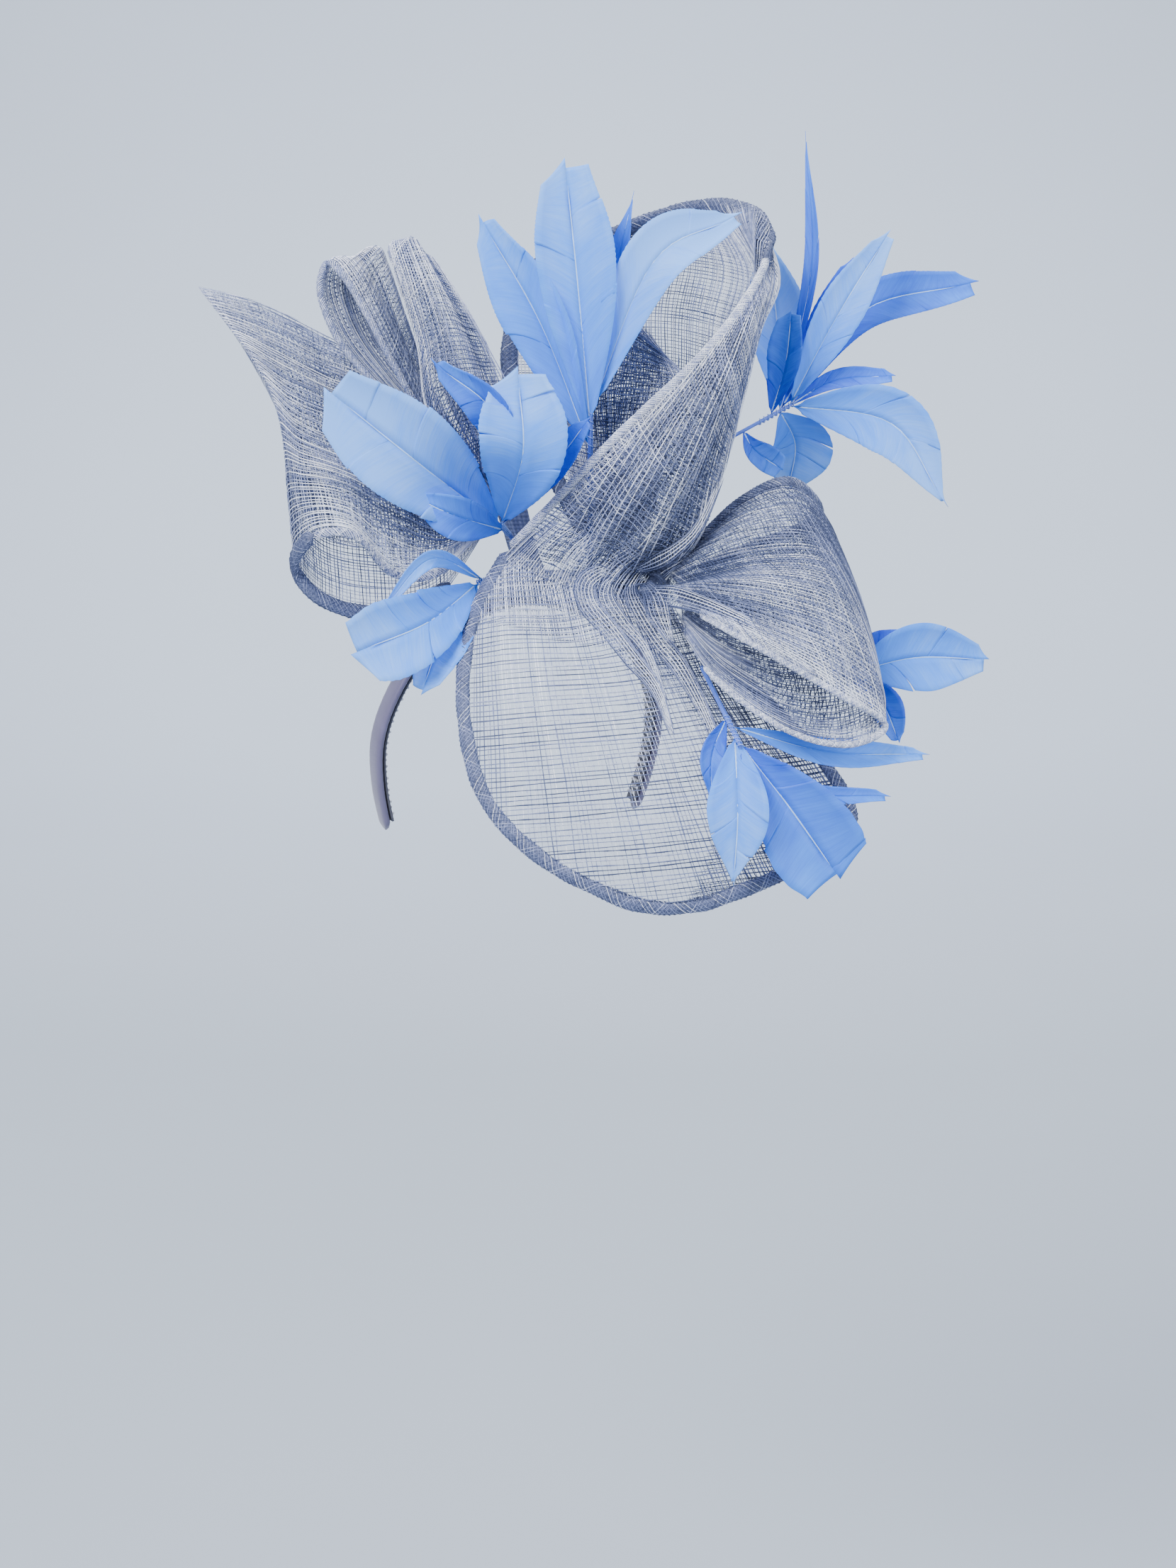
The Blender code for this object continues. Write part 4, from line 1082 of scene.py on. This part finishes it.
def waist_threads():
    """The threads that carry the saucer's cloth on into the hood's flap, as strands."""
    saucer = cloth_named("saucer")
    hood = cloth_named("hood")
    shares = np.linspace(0, 1, 12)
    rows = [sheet_points(saucer, np.full(12, a), shares, -0.0012) for a in (0.86, 0.94)]
    rows += [sheet_points(hood, np.full(12, a), shares / 2, -0.0012) for a in (0.05, 0.12)]
    rows = np.array(rows)
    draw = np.random.default_rng(8)
    threads = []
    for place in np.linspace(0.01, 0.99, 62) + draw.uniform(-0.005, 0.005, 62):
        run = np.linspace(0, 1, 9)
        line = flat_points(rows, run, np.clip(place + 0.10 * (run - 0.5), 0, 1))
        threads.append(Strand(to_world(line), 1.0, draw.normal(0.66, 0.18)))
    for place in np.linspace(0.02, 0.98, 15) + draw.uniform(-0.01, 0.01, 15):
        line = flat_points(rows, np.full(18, place), np.linspace(0, 1, 18))
        threads.append(Strand(to_world(line), 1.0, draw.normal(0.20, 0.16)))
    return threads


def make_cloth(cloth):
    threads = woven_threads(cloth)
    if cloth.node == "saucer":
        threads += waist_threads()
    name = cloth.node + "_cloth"
    mesh = strands_mesh(name, threads, bpy.context.scene.fascinator_cloth.thread_radius)
    return finish_piece(object_of(name, mesh, sinamay_material()), "sinamay", cloth.node)


# Rolled edges

def edge_points(cloth, corners, steps):
    """Points along a cloth's edge, the way into the cloth at each, and the way off it."""
    corners = np.array(corners, float)
    shares = np.linspace(0, len(corners) - 1, steps * (len(corners) - 1) + 1)
    first = np.minimum(shares.astype(int), len(corners) - 2)
    mix = (shares - first)[:, None]
    spots = corners[first] * (1 - mix) + corners[first + 1] * mix
    rows = placed(cloth)
    line = flat_points(rows, spots[:, 0], spots[:, 1])
    centre = flat_points(rows, spots[:, 0] * 0.96 + 0.02, spots[:, 1] * 0.90 + 0.05)
    ahead = unit(np.gradient(line, axis=0))
    inward = centre - line
    inward = unit(inward - ahead * (inward * ahead).sum(axis=1, keepdims=True))
    return line, inward, np.cross(ahead, inward)


def smooth_line(line, rounds=2):
    for _ in range(rounds):
        line = np.concatenate([line[:1], (line[:-2] + line[1:-1] * 2 + line[2:]) / 4, line[-1:]])
    return line


def make_roll(roll):
    """A flattened roll of bias cut cloth, with the crossing threads that show on it."""
    line, inward, normal = edge_points(cloth_named(roll.cloth), roll.corners, roll.steps)
    line = smooth_line(line)
    length = lengths_along(line)
    reach = length[-1]
    girth = roll.half_width * ROLL_GIRTH

    def at(values, place):
        return np.stack([np.interp(place, length / reach, values[:, i]) for i in range(3)], axis=1)

    def surface(place, angle, lift=0.0):
        wide = unit(at(inward, place))
        tall = unit(at(normal, place))
        end = np.sqrt(np.clip(np.minimum(place, 1 - place) * reach / roll.half_width, 0.02, 1))
        puff = 1 + 0.05 * np.sin(place * reach / 0.009) + 0.04 * np.sin(place * reach / 0.0037 + 1)
        across = np.cos(angle) * (roll.half_width + lift) * puff * end
        up = np.sin(angle) * (roll.thick + lift) * end
        return at(line, place) + wide * (across + roll.half_width * 0.35)[:, None] + tall * up[:, None]

    mesh = grid_mesh(roll.name, ceil(reach / ROLL_STEP), 12, lambda a, b: to_world(surface(a, b * 2 * pi)))
    change_uv(mesh, lambda uv: uv * (reach, girth))
    set_values(mesh, "shade", roll.shade * 0.5 - 0.08)
    core = object_of(roll.name + "_roll", close_seams(mesh), rolled_material())
    nodes = [roll.name] if roll.name.endswith("_binding") else []
    finish_piece(core, "binding", *nodes)

    draw = np.random.default_rng(len(roll.name))
    turns = reach / (girth * 0.95)
    count = ceil(turns * 7)
    place = np.linspace(0.002, 0.998, count)
    threads = []
    for way in (1, -1):
        for index in range(ROLL_STARTS):
            begin = 2 * pi * (index + draw.uniform(-0.2, 0.2)) / ROLL_STARTS
            thread = to_world(surface(place, way * (2 * pi * turns * place) + begin, 0.00012))
            width = 1 + 0.2 * draw.normal(0, 1, count).clip(-1.5, 1.5)
            shade = draw.normal(0.66 if way > 0 else 0.34, 0.15) + roll.shade
            threads.append(Strand(thread, width, shade))
    mesh = strands_mesh(roll.name + "_threads", threads, ROLL_THREAD)
    over = object_of(roll.name + "_threads", mesh, sinamay_material())
    finish_piece(over, "binding")
    return [core, over]


# The twist

def whorl_points(out, turn):
    """A point of the gathers round the twist: out from the hole to the rim, turn round it in radians."""
    radius = HOLE_RADIUS + (GATHER_RADIUS - HOLE_RADIUS) * out
    spiral = turn + GATHER_TURN * (1 - out) ** 1.4
    swell = GATHER_SWELL * (1 - out) ** 0.6 * out ** 0.35 + 0.0003
    pleat = np.sin(GATHER_PLEATS * turn + 0.5 * np.sin(2 * turn)) * swell
    dish = -GATHER_DISH * np.sin(pi * np.clip(out, 0, 1) ** 0.55) - 0.001 + 0.006 * out ** 2
    stretch = 1 + 0.16 * np.cos(turn - 0.5)
    return TWIST + np.stack([
        radius * stretch * np.cos(spiral), dish + pleat, radius * np.sin(spiral) * 0.92], axis=-1)


def fold_threads(fold, draw):
    """The threads of a rounded fold that lies on a cloth, on the viewer's side of it, as strands."""
    cloth = cloth_named(fold.cloth)
    shares = np.linspace(0, 1, 110)
    along, across = np.meshgrid(shares, shares, indexing="ij")
    under = flat_points(placed(cloth), along.ravel(), across.ravel())
    path = through(np.array(fold.path) * GATHER_SPAN + TWIST[[0, 2]], np.linspace(0, 1, 30))
    gap = np.linalg.norm(under[None, :, [0, 2]] - path[:, None], axis=2)
    near = np.where(gap < gap.min(axis=1, keepdims=True) + 0.004, under[None, :, 1], np.inf)
    depth = smooth_line(near.min(axis=1)[:, None], 30)[:, 0]
    spine = np.stack([path[:, 0], depth - fold.lift, path[:, 1]], axis=1)

    def ridge(place, angle):
        here = through(spine, place)
        ahead = unit(through(spine, place + 0.02) - through(spine, place - 0.02))
        wide = unit(np.cross(ahead, (0.0, 1.0, 0.0)))
        half = through(np.array(fold.widths)[:, None], place)[:, 0]
        roll = 1 + 0.10 * np.sin(9 * place + fold.lift * 4000)
        side = np.cos(angle) * half * roll
        toward = np.sin(angle) * half * FOLD_HEIGHT
        return here + wide * side[:, None] + np.stack([0 * side, -toward, 0 * side], axis=1)

    length = length_of(spine)
    place = np.linspace(0, 1, max(8, ceil(length / FOLD_STEP)))
    threads = []
    count = max(6, round(max(fold.widths) * pi / FOLD_WARP))
    for angle in np.linspace(-FOLD_TUCK, pi + FOLD_TUCK, count):
        line = ridge(place, angle + 0 * place)
        # Painted highlight on the fold's crest and painted shade on its tucked sides, with painted shade
        # toward the hole of the twist.
        shade = draw.normal(0.34 + 0.48 * max(0.0, np.sin(angle)), 0.12) + hollow_painted_shade(line)
        threads.append(Strand(to_world(line), 1.0, shade))
    angle = np.linspace(-FOLD_TUCK, pi + FOLD_TUCK, 9)
    for at in np.arange(0.02, 0.99, FOLD_WEFT / length):
        slant = at + FOLD_SLANT / length * np.cos(angle)
        line = ridge(np.clip(slant, 0, 1), angle)
        # Painted highlight on the crest of the threads round the fold, and painted shade toward the hole of
        # the twist.
        shade = draw.normal(0.10, 0.12) + 0.34 * np.sin(angle) + hollow_painted_shade(line)
        threads.append(Strand(to_world(line), 0.9, shade))
    return threads


def make_twist():
    """Gathers that wind into the pinch of the cloth, and the folds that run out from it."""
    draw = np.random.default_rng(11)
    threads = []
    for index in range(GATHER_SPOKES):
        out = np.linspace(0, draw.uniform(0.9, 1.0), 11)
        turn = 2 * pi * (index + draw.uniform(-0.3, 0.3)) / GATHER_SPOKES + 0 * out
        # Painted shade: the spokes are darker towards the hole in the middle.
        shade = draw.normal(0.05, 0.10) + 0.55 * out
        threads.append(Strand(to_world(whorl_points(out, turn)), 0.75 + 0.45 * out, shade))
    turn = np.linspace(0, 2 * pi, 60)
    for ring in np.linspace(0.06, 0.98, 13):
        # Painted shade: the rings are darker towards the hole in the middle.
        shade = draw.normal(0.0, 0.06) + 0.25 * ring
        threads.append(Strand(to_world(whorl_points(ring + 0 * turn, turn)), 1.0, shade))
    for fold in FOLDS:
        threads += fold_threads(fold, draw)
    mesh = strands_mesh("twist_gathers", threads, bpy.context.scene.fascinator_cloth.thread_radius)
    made = object_of("twist_gathers", mesh, sinamay_material())
    return finish_piece(made, "sinamay", "twist_knot")


# The headband, its comb and its pad

def band_line(place):
    """The band's path, from its left end at 0 to its right end at 1."""
    size = np.array((BAND_HALF_WIDTH, BAND_LEAN, BAND_DROP))
    right = np.array([(row.half_width, row.lean, -row.drop) for row in BAND]) * size
    arch = np.concatenate([right[:0:-1] * (-1, 1, 1), right])
    return through(arch, place)


def band_frame(place):
    step = band_line(place + 0.01) - band_line(place - 0.01)
    outward = unit(np.stack([-step[:, 2], np.zeros(len(step)), step[:, 0]], axis=1))
    return band_line(place), outward


def rounded(values, power):
    """Values from -1 to 1 that are drawn towards either end by a power below 1."""
    return np.sign(values) * np.abs(values) ** power


def make_headband():
    """A satin covered band: rounded edges, a crowned face, and puckers where the cover turns in."""
    inside = LINER_WALL + TOOTH_HEIGHT + 2 * SEAT_GAP

    def at(along, around):
        here, outward = band_frame(along)
        share = along * 2 - 1
        end = np.sqrt(np.clip((1 - np.abs(share)) / END_ROUND, 0.0, 1.0))
        width = BAND_WIDTH / 2 * (1 - END_TAPER * np.abs(share) ** 6) * end
        angle = around * 2 * pi
        pucker = 1 + PUCKER * np.sin(along * PUCKERS) * np.sin(angle + 0.6) ** 2
        across = rounded(np.cos(angle), EDGE_POWER) * width * pucker
        up = rounded(np.sin(angle), FACE_POWER) * BAND_WALL / 2 * np.clip(end, 0.25, 1)
        return here + outward * (inside + BAND_WALL / 2 + up)[:, None] + np.stack(
            [0 * across, across, 0 * across], axis=1)

    mesh = close_seams(grid_mesh("headband_satin", 220, 28, at))
    change_uv(mesh, lambda uv: uv * COVER_SIZE)
    made = object_of("headband_satin", mesh, satin_material())
    return finish_piece(made, "satin", "headband")


def make_comb_liner():
    """Dark grip tape inside the band, with rows of small pale teeth that point at the head."""
    band = bpy.context.scene.fascinator_band

    def tape(along, across):
        here, outward = band_frame(0.5 + (along - 0.5) * LINER_SHARE)
        return here + outward * (TOOTH_HEIGHT + LINER_WALL / 2) + np.stack(
            [0 * across, (across - 0.5) * LINER_WIDTH, 0 * across], axis=1)

    mesh = grid_mesh("comb_tape", 140, 4, tape)
    made = object_of("comb_tape", mesh, comb_material("grip_tape", band.comb, 0.8))
    wall = made.modifiers.new("wall", "SOLIDIFY")
    wall.thickness = LINER_WALL
    wall.offset = 0.0
    finish_piece(made, "liner", "comb_liner")
    bm = bmesh.new()
    draw = np.random.default_rng(5)
    for row in range(band.teeth):
        place = 0.5 + ((row + 0.5) / band.teeth - 0.5) * LINER_SHARE * 0.985
        here, outward = band_frame(np.array([place]))
        for column in range(TOOTH_COLUMNS):
            across = ((column + 0.5 + 0.5 * (row % 2) - 0.25) / TOOTH_COLUMNS - 0.5) * LINER_WIDTH * 0.92
            lean = Vector(outward[0]).to_track_quat("Z", "Y").to_matrix().to_4x4()
            spot = Vector(here[0] + outward[0] * TOOTH_HEIGHT * 0.55) + Vector((0.0, across, 0.0))
            turned = Matrix.Translation(spot) @ lean @ Matrix.Diagonal((1.0, 1.4, -1.0, 1.0))
            bmesh.ops.create_cone(
                bm, cap_ends=True, segments=6, radius1=TOOTH_RADII[0] * draw.uniform(0.85, 1.1),
                radius2=TOOTH_RADII[1], depth=TOOTH_HEIGHT, matrix=turned)
    bmesh.ops.recalc_face_normals(bm, faces=bm.faces)
    mesh = bpy.data.meshes.new("comb_teeth")
    bm.to_mesh(mesh)
    bm.free()
    teeth = object_of("comb_teeth", mesh, comb_material("pale_teeth", (0.62, 0.62, 0.66), 0.45))
    finish_piece(teeth, "liner")
    return made


def make_mounting_pad():
    """The sewn pad on the crown, with the gathered stalk that carries the loops on the left."""
    def pad(along, around):
        lat = (along - 0.5) * pi
        turn = around * 2 * pi
        seam = 1 + 0.015 * np.sin(turn * PAD_SEAMS)
        across = np.cos(lat) ** PAD_POWER * np.cos(turn) * PAD_RADII[0] * seam
        depth = np.cos(lat) ** PAD_POWER * np.sin(turn) * PAD_RADII[1] * seam
        up = np.sin(lat) * PAD_RADII[2] * 0.9
        return to_world(PAD_CENTRE + np.stack([across, depth, up], axis=1))

    def stalk(along, around):
        foot = PAD_CENTRE + np.array((-0.25, 0.35, 0.1)) * PAD_RADII[0]
        spine = [foot, (foot + LOOP_ROOT) / 2 + (0.001, 0.0, 0.0), LOOP_ROOT + (0.0, 0.0, 0.010)]
        here = through(spine, along)
        turn = around * 2 * pi
        flare = 1.05 + 0.9 * np.clip(along - 0.55, 0, 1) ** 1.2 + 0.5 * np.clip(0.25 - along, 0, 1)
        flare = POST_RADIUS * flare * np.clip((1.0 - along) * 9, 0.0, 1.0) ** 0.5
        pleats = 1 + 0.13 * np.sin(turn * POST_PLEATS + along * 5.0)
        across = np.cos(turn) * flare * pleats
        depth = np.sin(turn) * flare * pleats * 1.15
        return to_world(here + np.stack([across, depth, 0 * depth], axis=1))

    pad_mesh = change_uv(close_seams(grid_mesh("pad", 24, 104, pad)), lambda uv: uv * PAD_COVER)
    stalk_mesh = change_uv(close_seams(grid_mesh("stalk", 40, 64, stalk)), lambda uv: uv * POST_COVER)
    made = joined("crown_pad", [pad_mesh, stalk_mesh], rolled_material())
    set_values(made.data, "shade", 0.16)
    finish_piece(made, "sinamay", "mounting_pad")
    return made


# Feathers

def blade_half(cut, share):
    """A blade's half width at a share of its length, as a share of its widest."""
    rise = 0.05 + 0.95 * np.sin(np.clip(share / cut.widest, 0, 1) * pi / 2) ** 1.15
    past = np.clip((share - cut.widest) / (1.04 - cut.widest), 0, 1)
    return rise * (1 - (1 - cut.tip_share) * past ** 2 * (3 - 2 * past) ** 0.5)


def blade_frame(points, face, share):
    """A blade's quill, its way across and its way up, at shares that may run past its tip."""
    inside = np.clip(share, 0.0, 1.0)
    here = through(points, inside)
    ahead = unit(through(points, inside + 0.02) - through(points, inside - 0.02))
    here = here + ahead * ((share - inside) * length_of(points))[:, None]
    side = unit(np.cross(ahead, (0.0, 1.0, 0.0)))
    up = np.cross(side, ahead)
    turn = radians(face)
    return here, side * cos(turn) + up * sin(turn), up * cos(turn) - side * sin(turn)


def vane_meshes(points, width, blade, draw):
    """The two vanes of a blade, in locks of barbs that part a little from each other."""
    cut = CUTS[blade.cut]
    length = length_of(points)
    meshes = []
    for side in (-1, 1):
        bounds = [VANE_START]
        while bounds[-1] < 0.96:
            bounds.append(min(1.0, bounds[-1] + draw.uniform(*LOCK_LENGTHS)))
        bounds[-1] = 1.0
        for start, end in zip(bounds, bounds[1:]):
            columns = max(4, 2 * round((end - start) * length / BARB_PITCH / 2) + 1)
            lean = draw.normal(0, 0.010)
            lift = draw.normal(0, 0.035)
            reach = draw.uniform(0.95, 1.02)
            span = end - start + (LOCK_OVERLAP if end < 1 else 0.0)

            def at(along, out):
                root = start + span * along
                back = cut.sweep * np.clip(1 - root ** 6, 0, 1) * np.minimum(1, root / 0.2)
                slant = (0.05 + 0.02 * side) * root ** 6 * (1 - out) - 0.03 * side * out * root ** 8
                share = root - back * (1 - out) ** 1.2 + lean * out ** 2 + slant
                here, across, up = blade_frame(points, blade.face, share)
                ridge = np.where(np.round(along * (columns - 1)) % 2, BARB_RIDGE, -BARB_RIDGE)
                ridge = ridge * (1 - out ** 3)
                frayed = 1 + 0.010 * np.sin(root * 330.0) * out
                half = WIDER * width / 2 * blade_half(cut, share) * reach * frayed
                cup = VANE_CUP * out ** 2 * half
                curl = -VANE_CURL * width * np.clip(share, 0, 1.1) ** 3 * (0.5 + 0.5 * out)
                depth = cup + curl + lift * out ** 1.5 * half + ridge * np.minimum(1, out * 4)
                return to_world(here + across * (side * out * half)[:, None] - up * depth[:, None])

            mesh = grid_mesh("vane", columns - 1, 5, at)
            change_uv(mesh, lambda uv: uv * (span, 0.5 * side) + (start, 0.5))
            set_values(mesh, "tone", blade.tone + draw.normal(0, 0.03))
            meshes.append(mesh)
    return meshes


def make_spray(spray, seed):
    """A spray of trimmed feathers on a stem bound with silk."""
    draw = np.random.default_rng(seed)
    root = np.array(spray.root)
    knot = np.array(spray.knot)
    bow = (root + knot) / 2 + np.array((0.0, -0.1, 0.0)) * np.linalg.norm(knot - root)
    past = knot + unit(knot - bow) * STEM_RADIUS * 2
    spine = [root, bow, past]
    vanes = []
    quills = []
    for blade in (Blade(*row) for row in spray.blades):
        start = through(spine, [blade.leaves * 0.94])[0]
        middle = knot + np.array(blade.middle) * spray.reach
        points = [start, middle, knot + np.array(blade.tip) * spray.reach]
        vanes += vane_meshes(points, blade.width * spray.reach, blade, draw)
        share = np.linspace(0.0, 0.96, 16)
        here, _, up = blade_frame(points, blade.face, share)
        quills.append(Strand(to_world(here + up * 0.0005), 1.0 - 0.72 * share, 0.15))
    stem = through(spine, np.linspace(0.0, 1.0, 14))
    for index in range(len(spray.blades)):
        turn = 2 * pi * index / len(spray.blades)
        ring = np.array((cos(turn), sin(turn), 0.0)) * STEM_RADIUS * 0.38
        quills.append(Strand(to_world(stem + ring), 0.80, 0.8))
    wrap_share = np.linspace(WRAP_START, WRAP_END, WRAP_TURNS * 10)
    angle = wrap_share * 2 * pi * WRAP_TURNS / (WRAP_END - WRAP_START)
    side = unit(np.cross(unit(past - bow), (0.0, 1.0, 0.0)))
    up = np.cross(side, unit(past - bow))
    round_stem = np.cos(angle)[:, None] * side + np.sin(angle)[:, None] * up
    wrap = Strand(to_world(through(spine, wrap_share) + round_stem * STEM_RADIUS * 0.78), 1.0, 0.6)
    made = joined(spray.name + "_vanes", vanes, feather_material())
    wall = made.modifiers.new("wall", "SOLIDIFY")
    wall.thickness = VANE_WALL
    wall.offset = 0.0
    finish_piece(made, "feather", spray.name)
    quill_mesh = strands_mesh("quills", quills, QUILL_RADIUS, 1, "tone")
    wrap_mesh = strands_mesh("wrap", [wrap], WRAP_THREAD, 1, "tone")
    stems = joined(spray.name + "_quills", [quill_mesh, wrap_mesh], quill_material())
    finish_piece(stems, "feather")
    return made


# The stage

def area_light(name, place, aim, size, power, colour):
    light = bpy.data.lights.new(name, "AREA")
    light.shape = "DISK"
    light.size = size
    light.energy = power
    light.color = colour
    made = bpy.data.objects.new(name, light)
    bpy.context.scene.collection.objects.link(made)
    made.location = place
    made.rotation_euler = (Vector(aim) - Vector(place)).to_track_quat("-Z", "Y").to_euler()
    return made


def make_stage():
    """A seamless pale sweep, soft lights and the camera at the photograph's angle."""
    stage = bpy.context.scene.fascinator_stage
    eye = to_world(FRAME_MIDDLE * (1, 1, 0) + np.array((0.0, -stage.distance, EYE_HEIGHT)))
    aim = to_world(FRAME_MIDDLE)
    camera = bpy.data.cameras.new("camera")
    camera.sensor_width = SENSOR
    camera.lens = SENSOR * float(np.linalg.norm(aim - eye)) / FRAME_HEIGHT
    holder = bpy.data.objects.new("camera", camera)
    bpy.context.scene.collection.objects.link(holder)
    holder.location = eye
    holder.rotation_euler = Vector(aim - eye).to_track_quat("-Z", "Y").to_euler()
    bpy.context.scene.camera = holder

    def sweep(along, across):
        run = along * PAPER_LENGTH - PAPER_LEVEL
        turn = np.clip(run / (PAPER_BEND * pi / 2), 0, 1) * pi / 2
        rise = np.maximum(run - PAPER_BEND * pi / 2, 0)
        depth = np.minimum(run, 0) + PAPER_BEND * np.sin(turn) + PAPER_BACK - PAPER_BEND
        up = PAPER_BEND * (1 - np.cos(turn)) + rise + FLOOR_Z
        points = np.stack([(across - 0.5) * PAPER_WIDTH, depth, up], axis=1)
        return points @ np.array(Matrix.Rotation(TRIM_TURN, 3, "Z")).T

    made, tree, shader = new_material("paper", Roughness=0.9, Specular_IOR_Level=0.1)
    # Painted shade: the paper darkens away from a spot on its back wall.
    apart = tree.nodes.new("ShaderNodeVectorMath")
    apart.operation = "DISTANCE"
    apart.inputs[1].default_value = to_world(np.array((0.1, PAPER_BACK, -0.5)))
    tree.links.new(coordinates(tree), apart.inputs[0])
    falling = maths(tree, "MULTIPLY_ADD", apart.outputs["Value"], 0.9, -0.8)
    share = maths(tree, "MINIMUM", maths(tree, "MAXIMUM", falling, 0.0), 1.0)
    darker = tuple(PAPER_PAINTED_SHADE * c for c in stage.paper)
    mottled(tree, shader, mixed(tree, share, (*stage.paper, 1.0), (*darker, 1.0)), 0.03, 2.0)
    object_of("sweep", grid_mesh("sweep", 60, 4, sweep), made)
    cool = (0.93, 0.96, 1.0)
    white = (1.0, 1.0, 1.0)
    trim = (0.0, 0.0, 0.05)
    wall = to_world(np.array((0.0, PAPER_BACK, 0.2)))
    for name, place, aim, size, power, colour in (
            ("key", (-0.9, -1.6, 1.3), trim, 1.2, stage.key, white),
            ("fill", (1.5, -1.2, 0.5), trim, 1.4, stage.fill, cool),
            ("top", (0.2, 0.3, 1.7), trim, 1.0, stage.fill, white),
            ("back", (0.0, 1.6, 2.2), wall, 2.0, stage.key * 0.95, white)):
        area_light(name, to_world(np.array(place)), aim, size, power, colour)
    world = bpy.context.scene.world or bpy.data.worlds.new("world")
    bpy.context.scene.world = world
    world.use_nodes = True
    background = world.node_tree.nodes["Background"]
    background.inputs["Color"].default_value = (0.86, 0.90, 0.96, 1.0)
    background.inputs["Strength"].default_value = 0.80


class FascinatorOperator:
    bl_options = {"REGISTER", "UNDO"}


class FASCINATOR_OT_cloth(FascinatorOperator, bpy.types.Operator):
    """Weaves the saucer, the hood, the fold inside it and the four loops"""
    bl_idname = "fascinator.cloth"
    bl_label = "Weave the cloth"

    def execute(self, context):
        for cloth in CLOTHS:
            make_cloth(cloth)
        return {"FINISHED"}


class FASCINATOR_OT_rolls(FascinatorOperator, bpy.types.Operator):
    """Rolls the bound edges"""
    bl_idname = "fascinator.rolls"
    bl_label = "Roll the edges"

    def execute(self, context):
        held = {cloth.node: [] for cloth in CLOTHS}
        for roll in ROLLS:
            held[roll.cloth] += make_roll(roll)
        for cloth in CLOTHS:
            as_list(held[cloth.node])
        return {"FINISHED"}


class FASCINATOR_OT_twist(FascinatorOperator, bpy.types.Operator):
    """Gathers the cloth at the twist"""
    bl_idname = "fascinator.twist"
    bl_label = "Gather the twist"

    def execute(self, context):
        make_twist()
        return {"FINISHED"}


class FASCINATOR_OT_headband(FascinatorOperator, bpy.types.Operator):
    """Makes the satin headband, its comb and the pad on it"""
    bl_idname = "fascinator.headband"
    bl_label = "Make the headband"

    def execute(self, context):
        make_headband()
        make_comb_liner()
        make_mounting_pad()
        return {"FINISHED"}


class FASCINATOR_OT_feathers(FascinatorOperator, bpy.types.Operator):
    """Makes the sprays of trimmed feathers"""
    bl_idname = "fascinator.feathers"
    bl_label = "Make the feathers"

    def execute(self, context):
        for seed, spray in enumerate(SPRAYS):
            make_spray(spray, seed + 20)
        return {"FINISHED"}


class FASCINATOR_OT_stage(FascinatorOperator, bpy.types.Operator):
    """Sets the backdrop, the lights and the camera"""
    bl_idname = "fascinator.stage"
    bl_label = "Set the stage"

    def execute(self, context):
        make_stage()
        return {"FINISHED"}


class FASCINATOR_PT_panel(bpy.types.Panel):
    """Lists the sizes, the colours and the steps"""
    bl_idname = "FASCINATOR_PT_panel"
    bl_label = "Fascinator"
    bl_space_type = "VIEW_3D"
    bl_region_type = "UI"
    bl_category = "Fascinator"

    def draw(self, context):
        for group in SETTINGS:
            values = getattr(context.scene, group)
            box = self.layout.box()
            for name in values.__annotations__:
                box.prop(values, name)
        for step in STEPS:
            self.layout.operator(step.bl_idname)


SETTINGS = {
    "fascinator_cloth": FascinatorCloth,
    "fascinator_feathers": FascinatorFeathers,
    "fascinator_band": FascinatorBand,
    "fascinator_stage": FascinatorStage,
}
STEPS = (
    FASCINATOR_OT_stage, FASCINATOR_OT_cloth, FASCINATOR_OT_rolls, FASCINATOR_OT_twist,
    FASCINATOR_OT_headband, FASCINATOR_OT_feathers,
)


def register():
    for name, group in SETTINGS.items():
        bpy.utils.register_class(group)
        setattr(bpy.types.Scene, name, bpy.props.PointerProperty(type=group))
    for step in STEPS:
        bpy.utils.register_class(step)
    bpy.utils.register_class(FASCINATOR_PT_panel)


def unregister():
    bpy.utils.unregister_class(FASCINATOR_PT_panel)
    for step in reversed(STEPS):
        bpy.utils.unregister_class(step)
    for name, group in SETTINGS.items():
        delattr(bpy.types.Scene, name)
        bpy.utils.unregister_class(group)


def main():
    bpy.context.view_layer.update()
    register()
    bpy.ops.fascinator.stage()
    bpy.ops.fascinator.cloth()
    bpy.ops.fascinator.rolls()
    bpy.ops.fascinator.twist()
    bpy.ops.fascinator.headband()
    bpy.ops.fascinator.feathers()


if __name__ == "__main__":
    main()
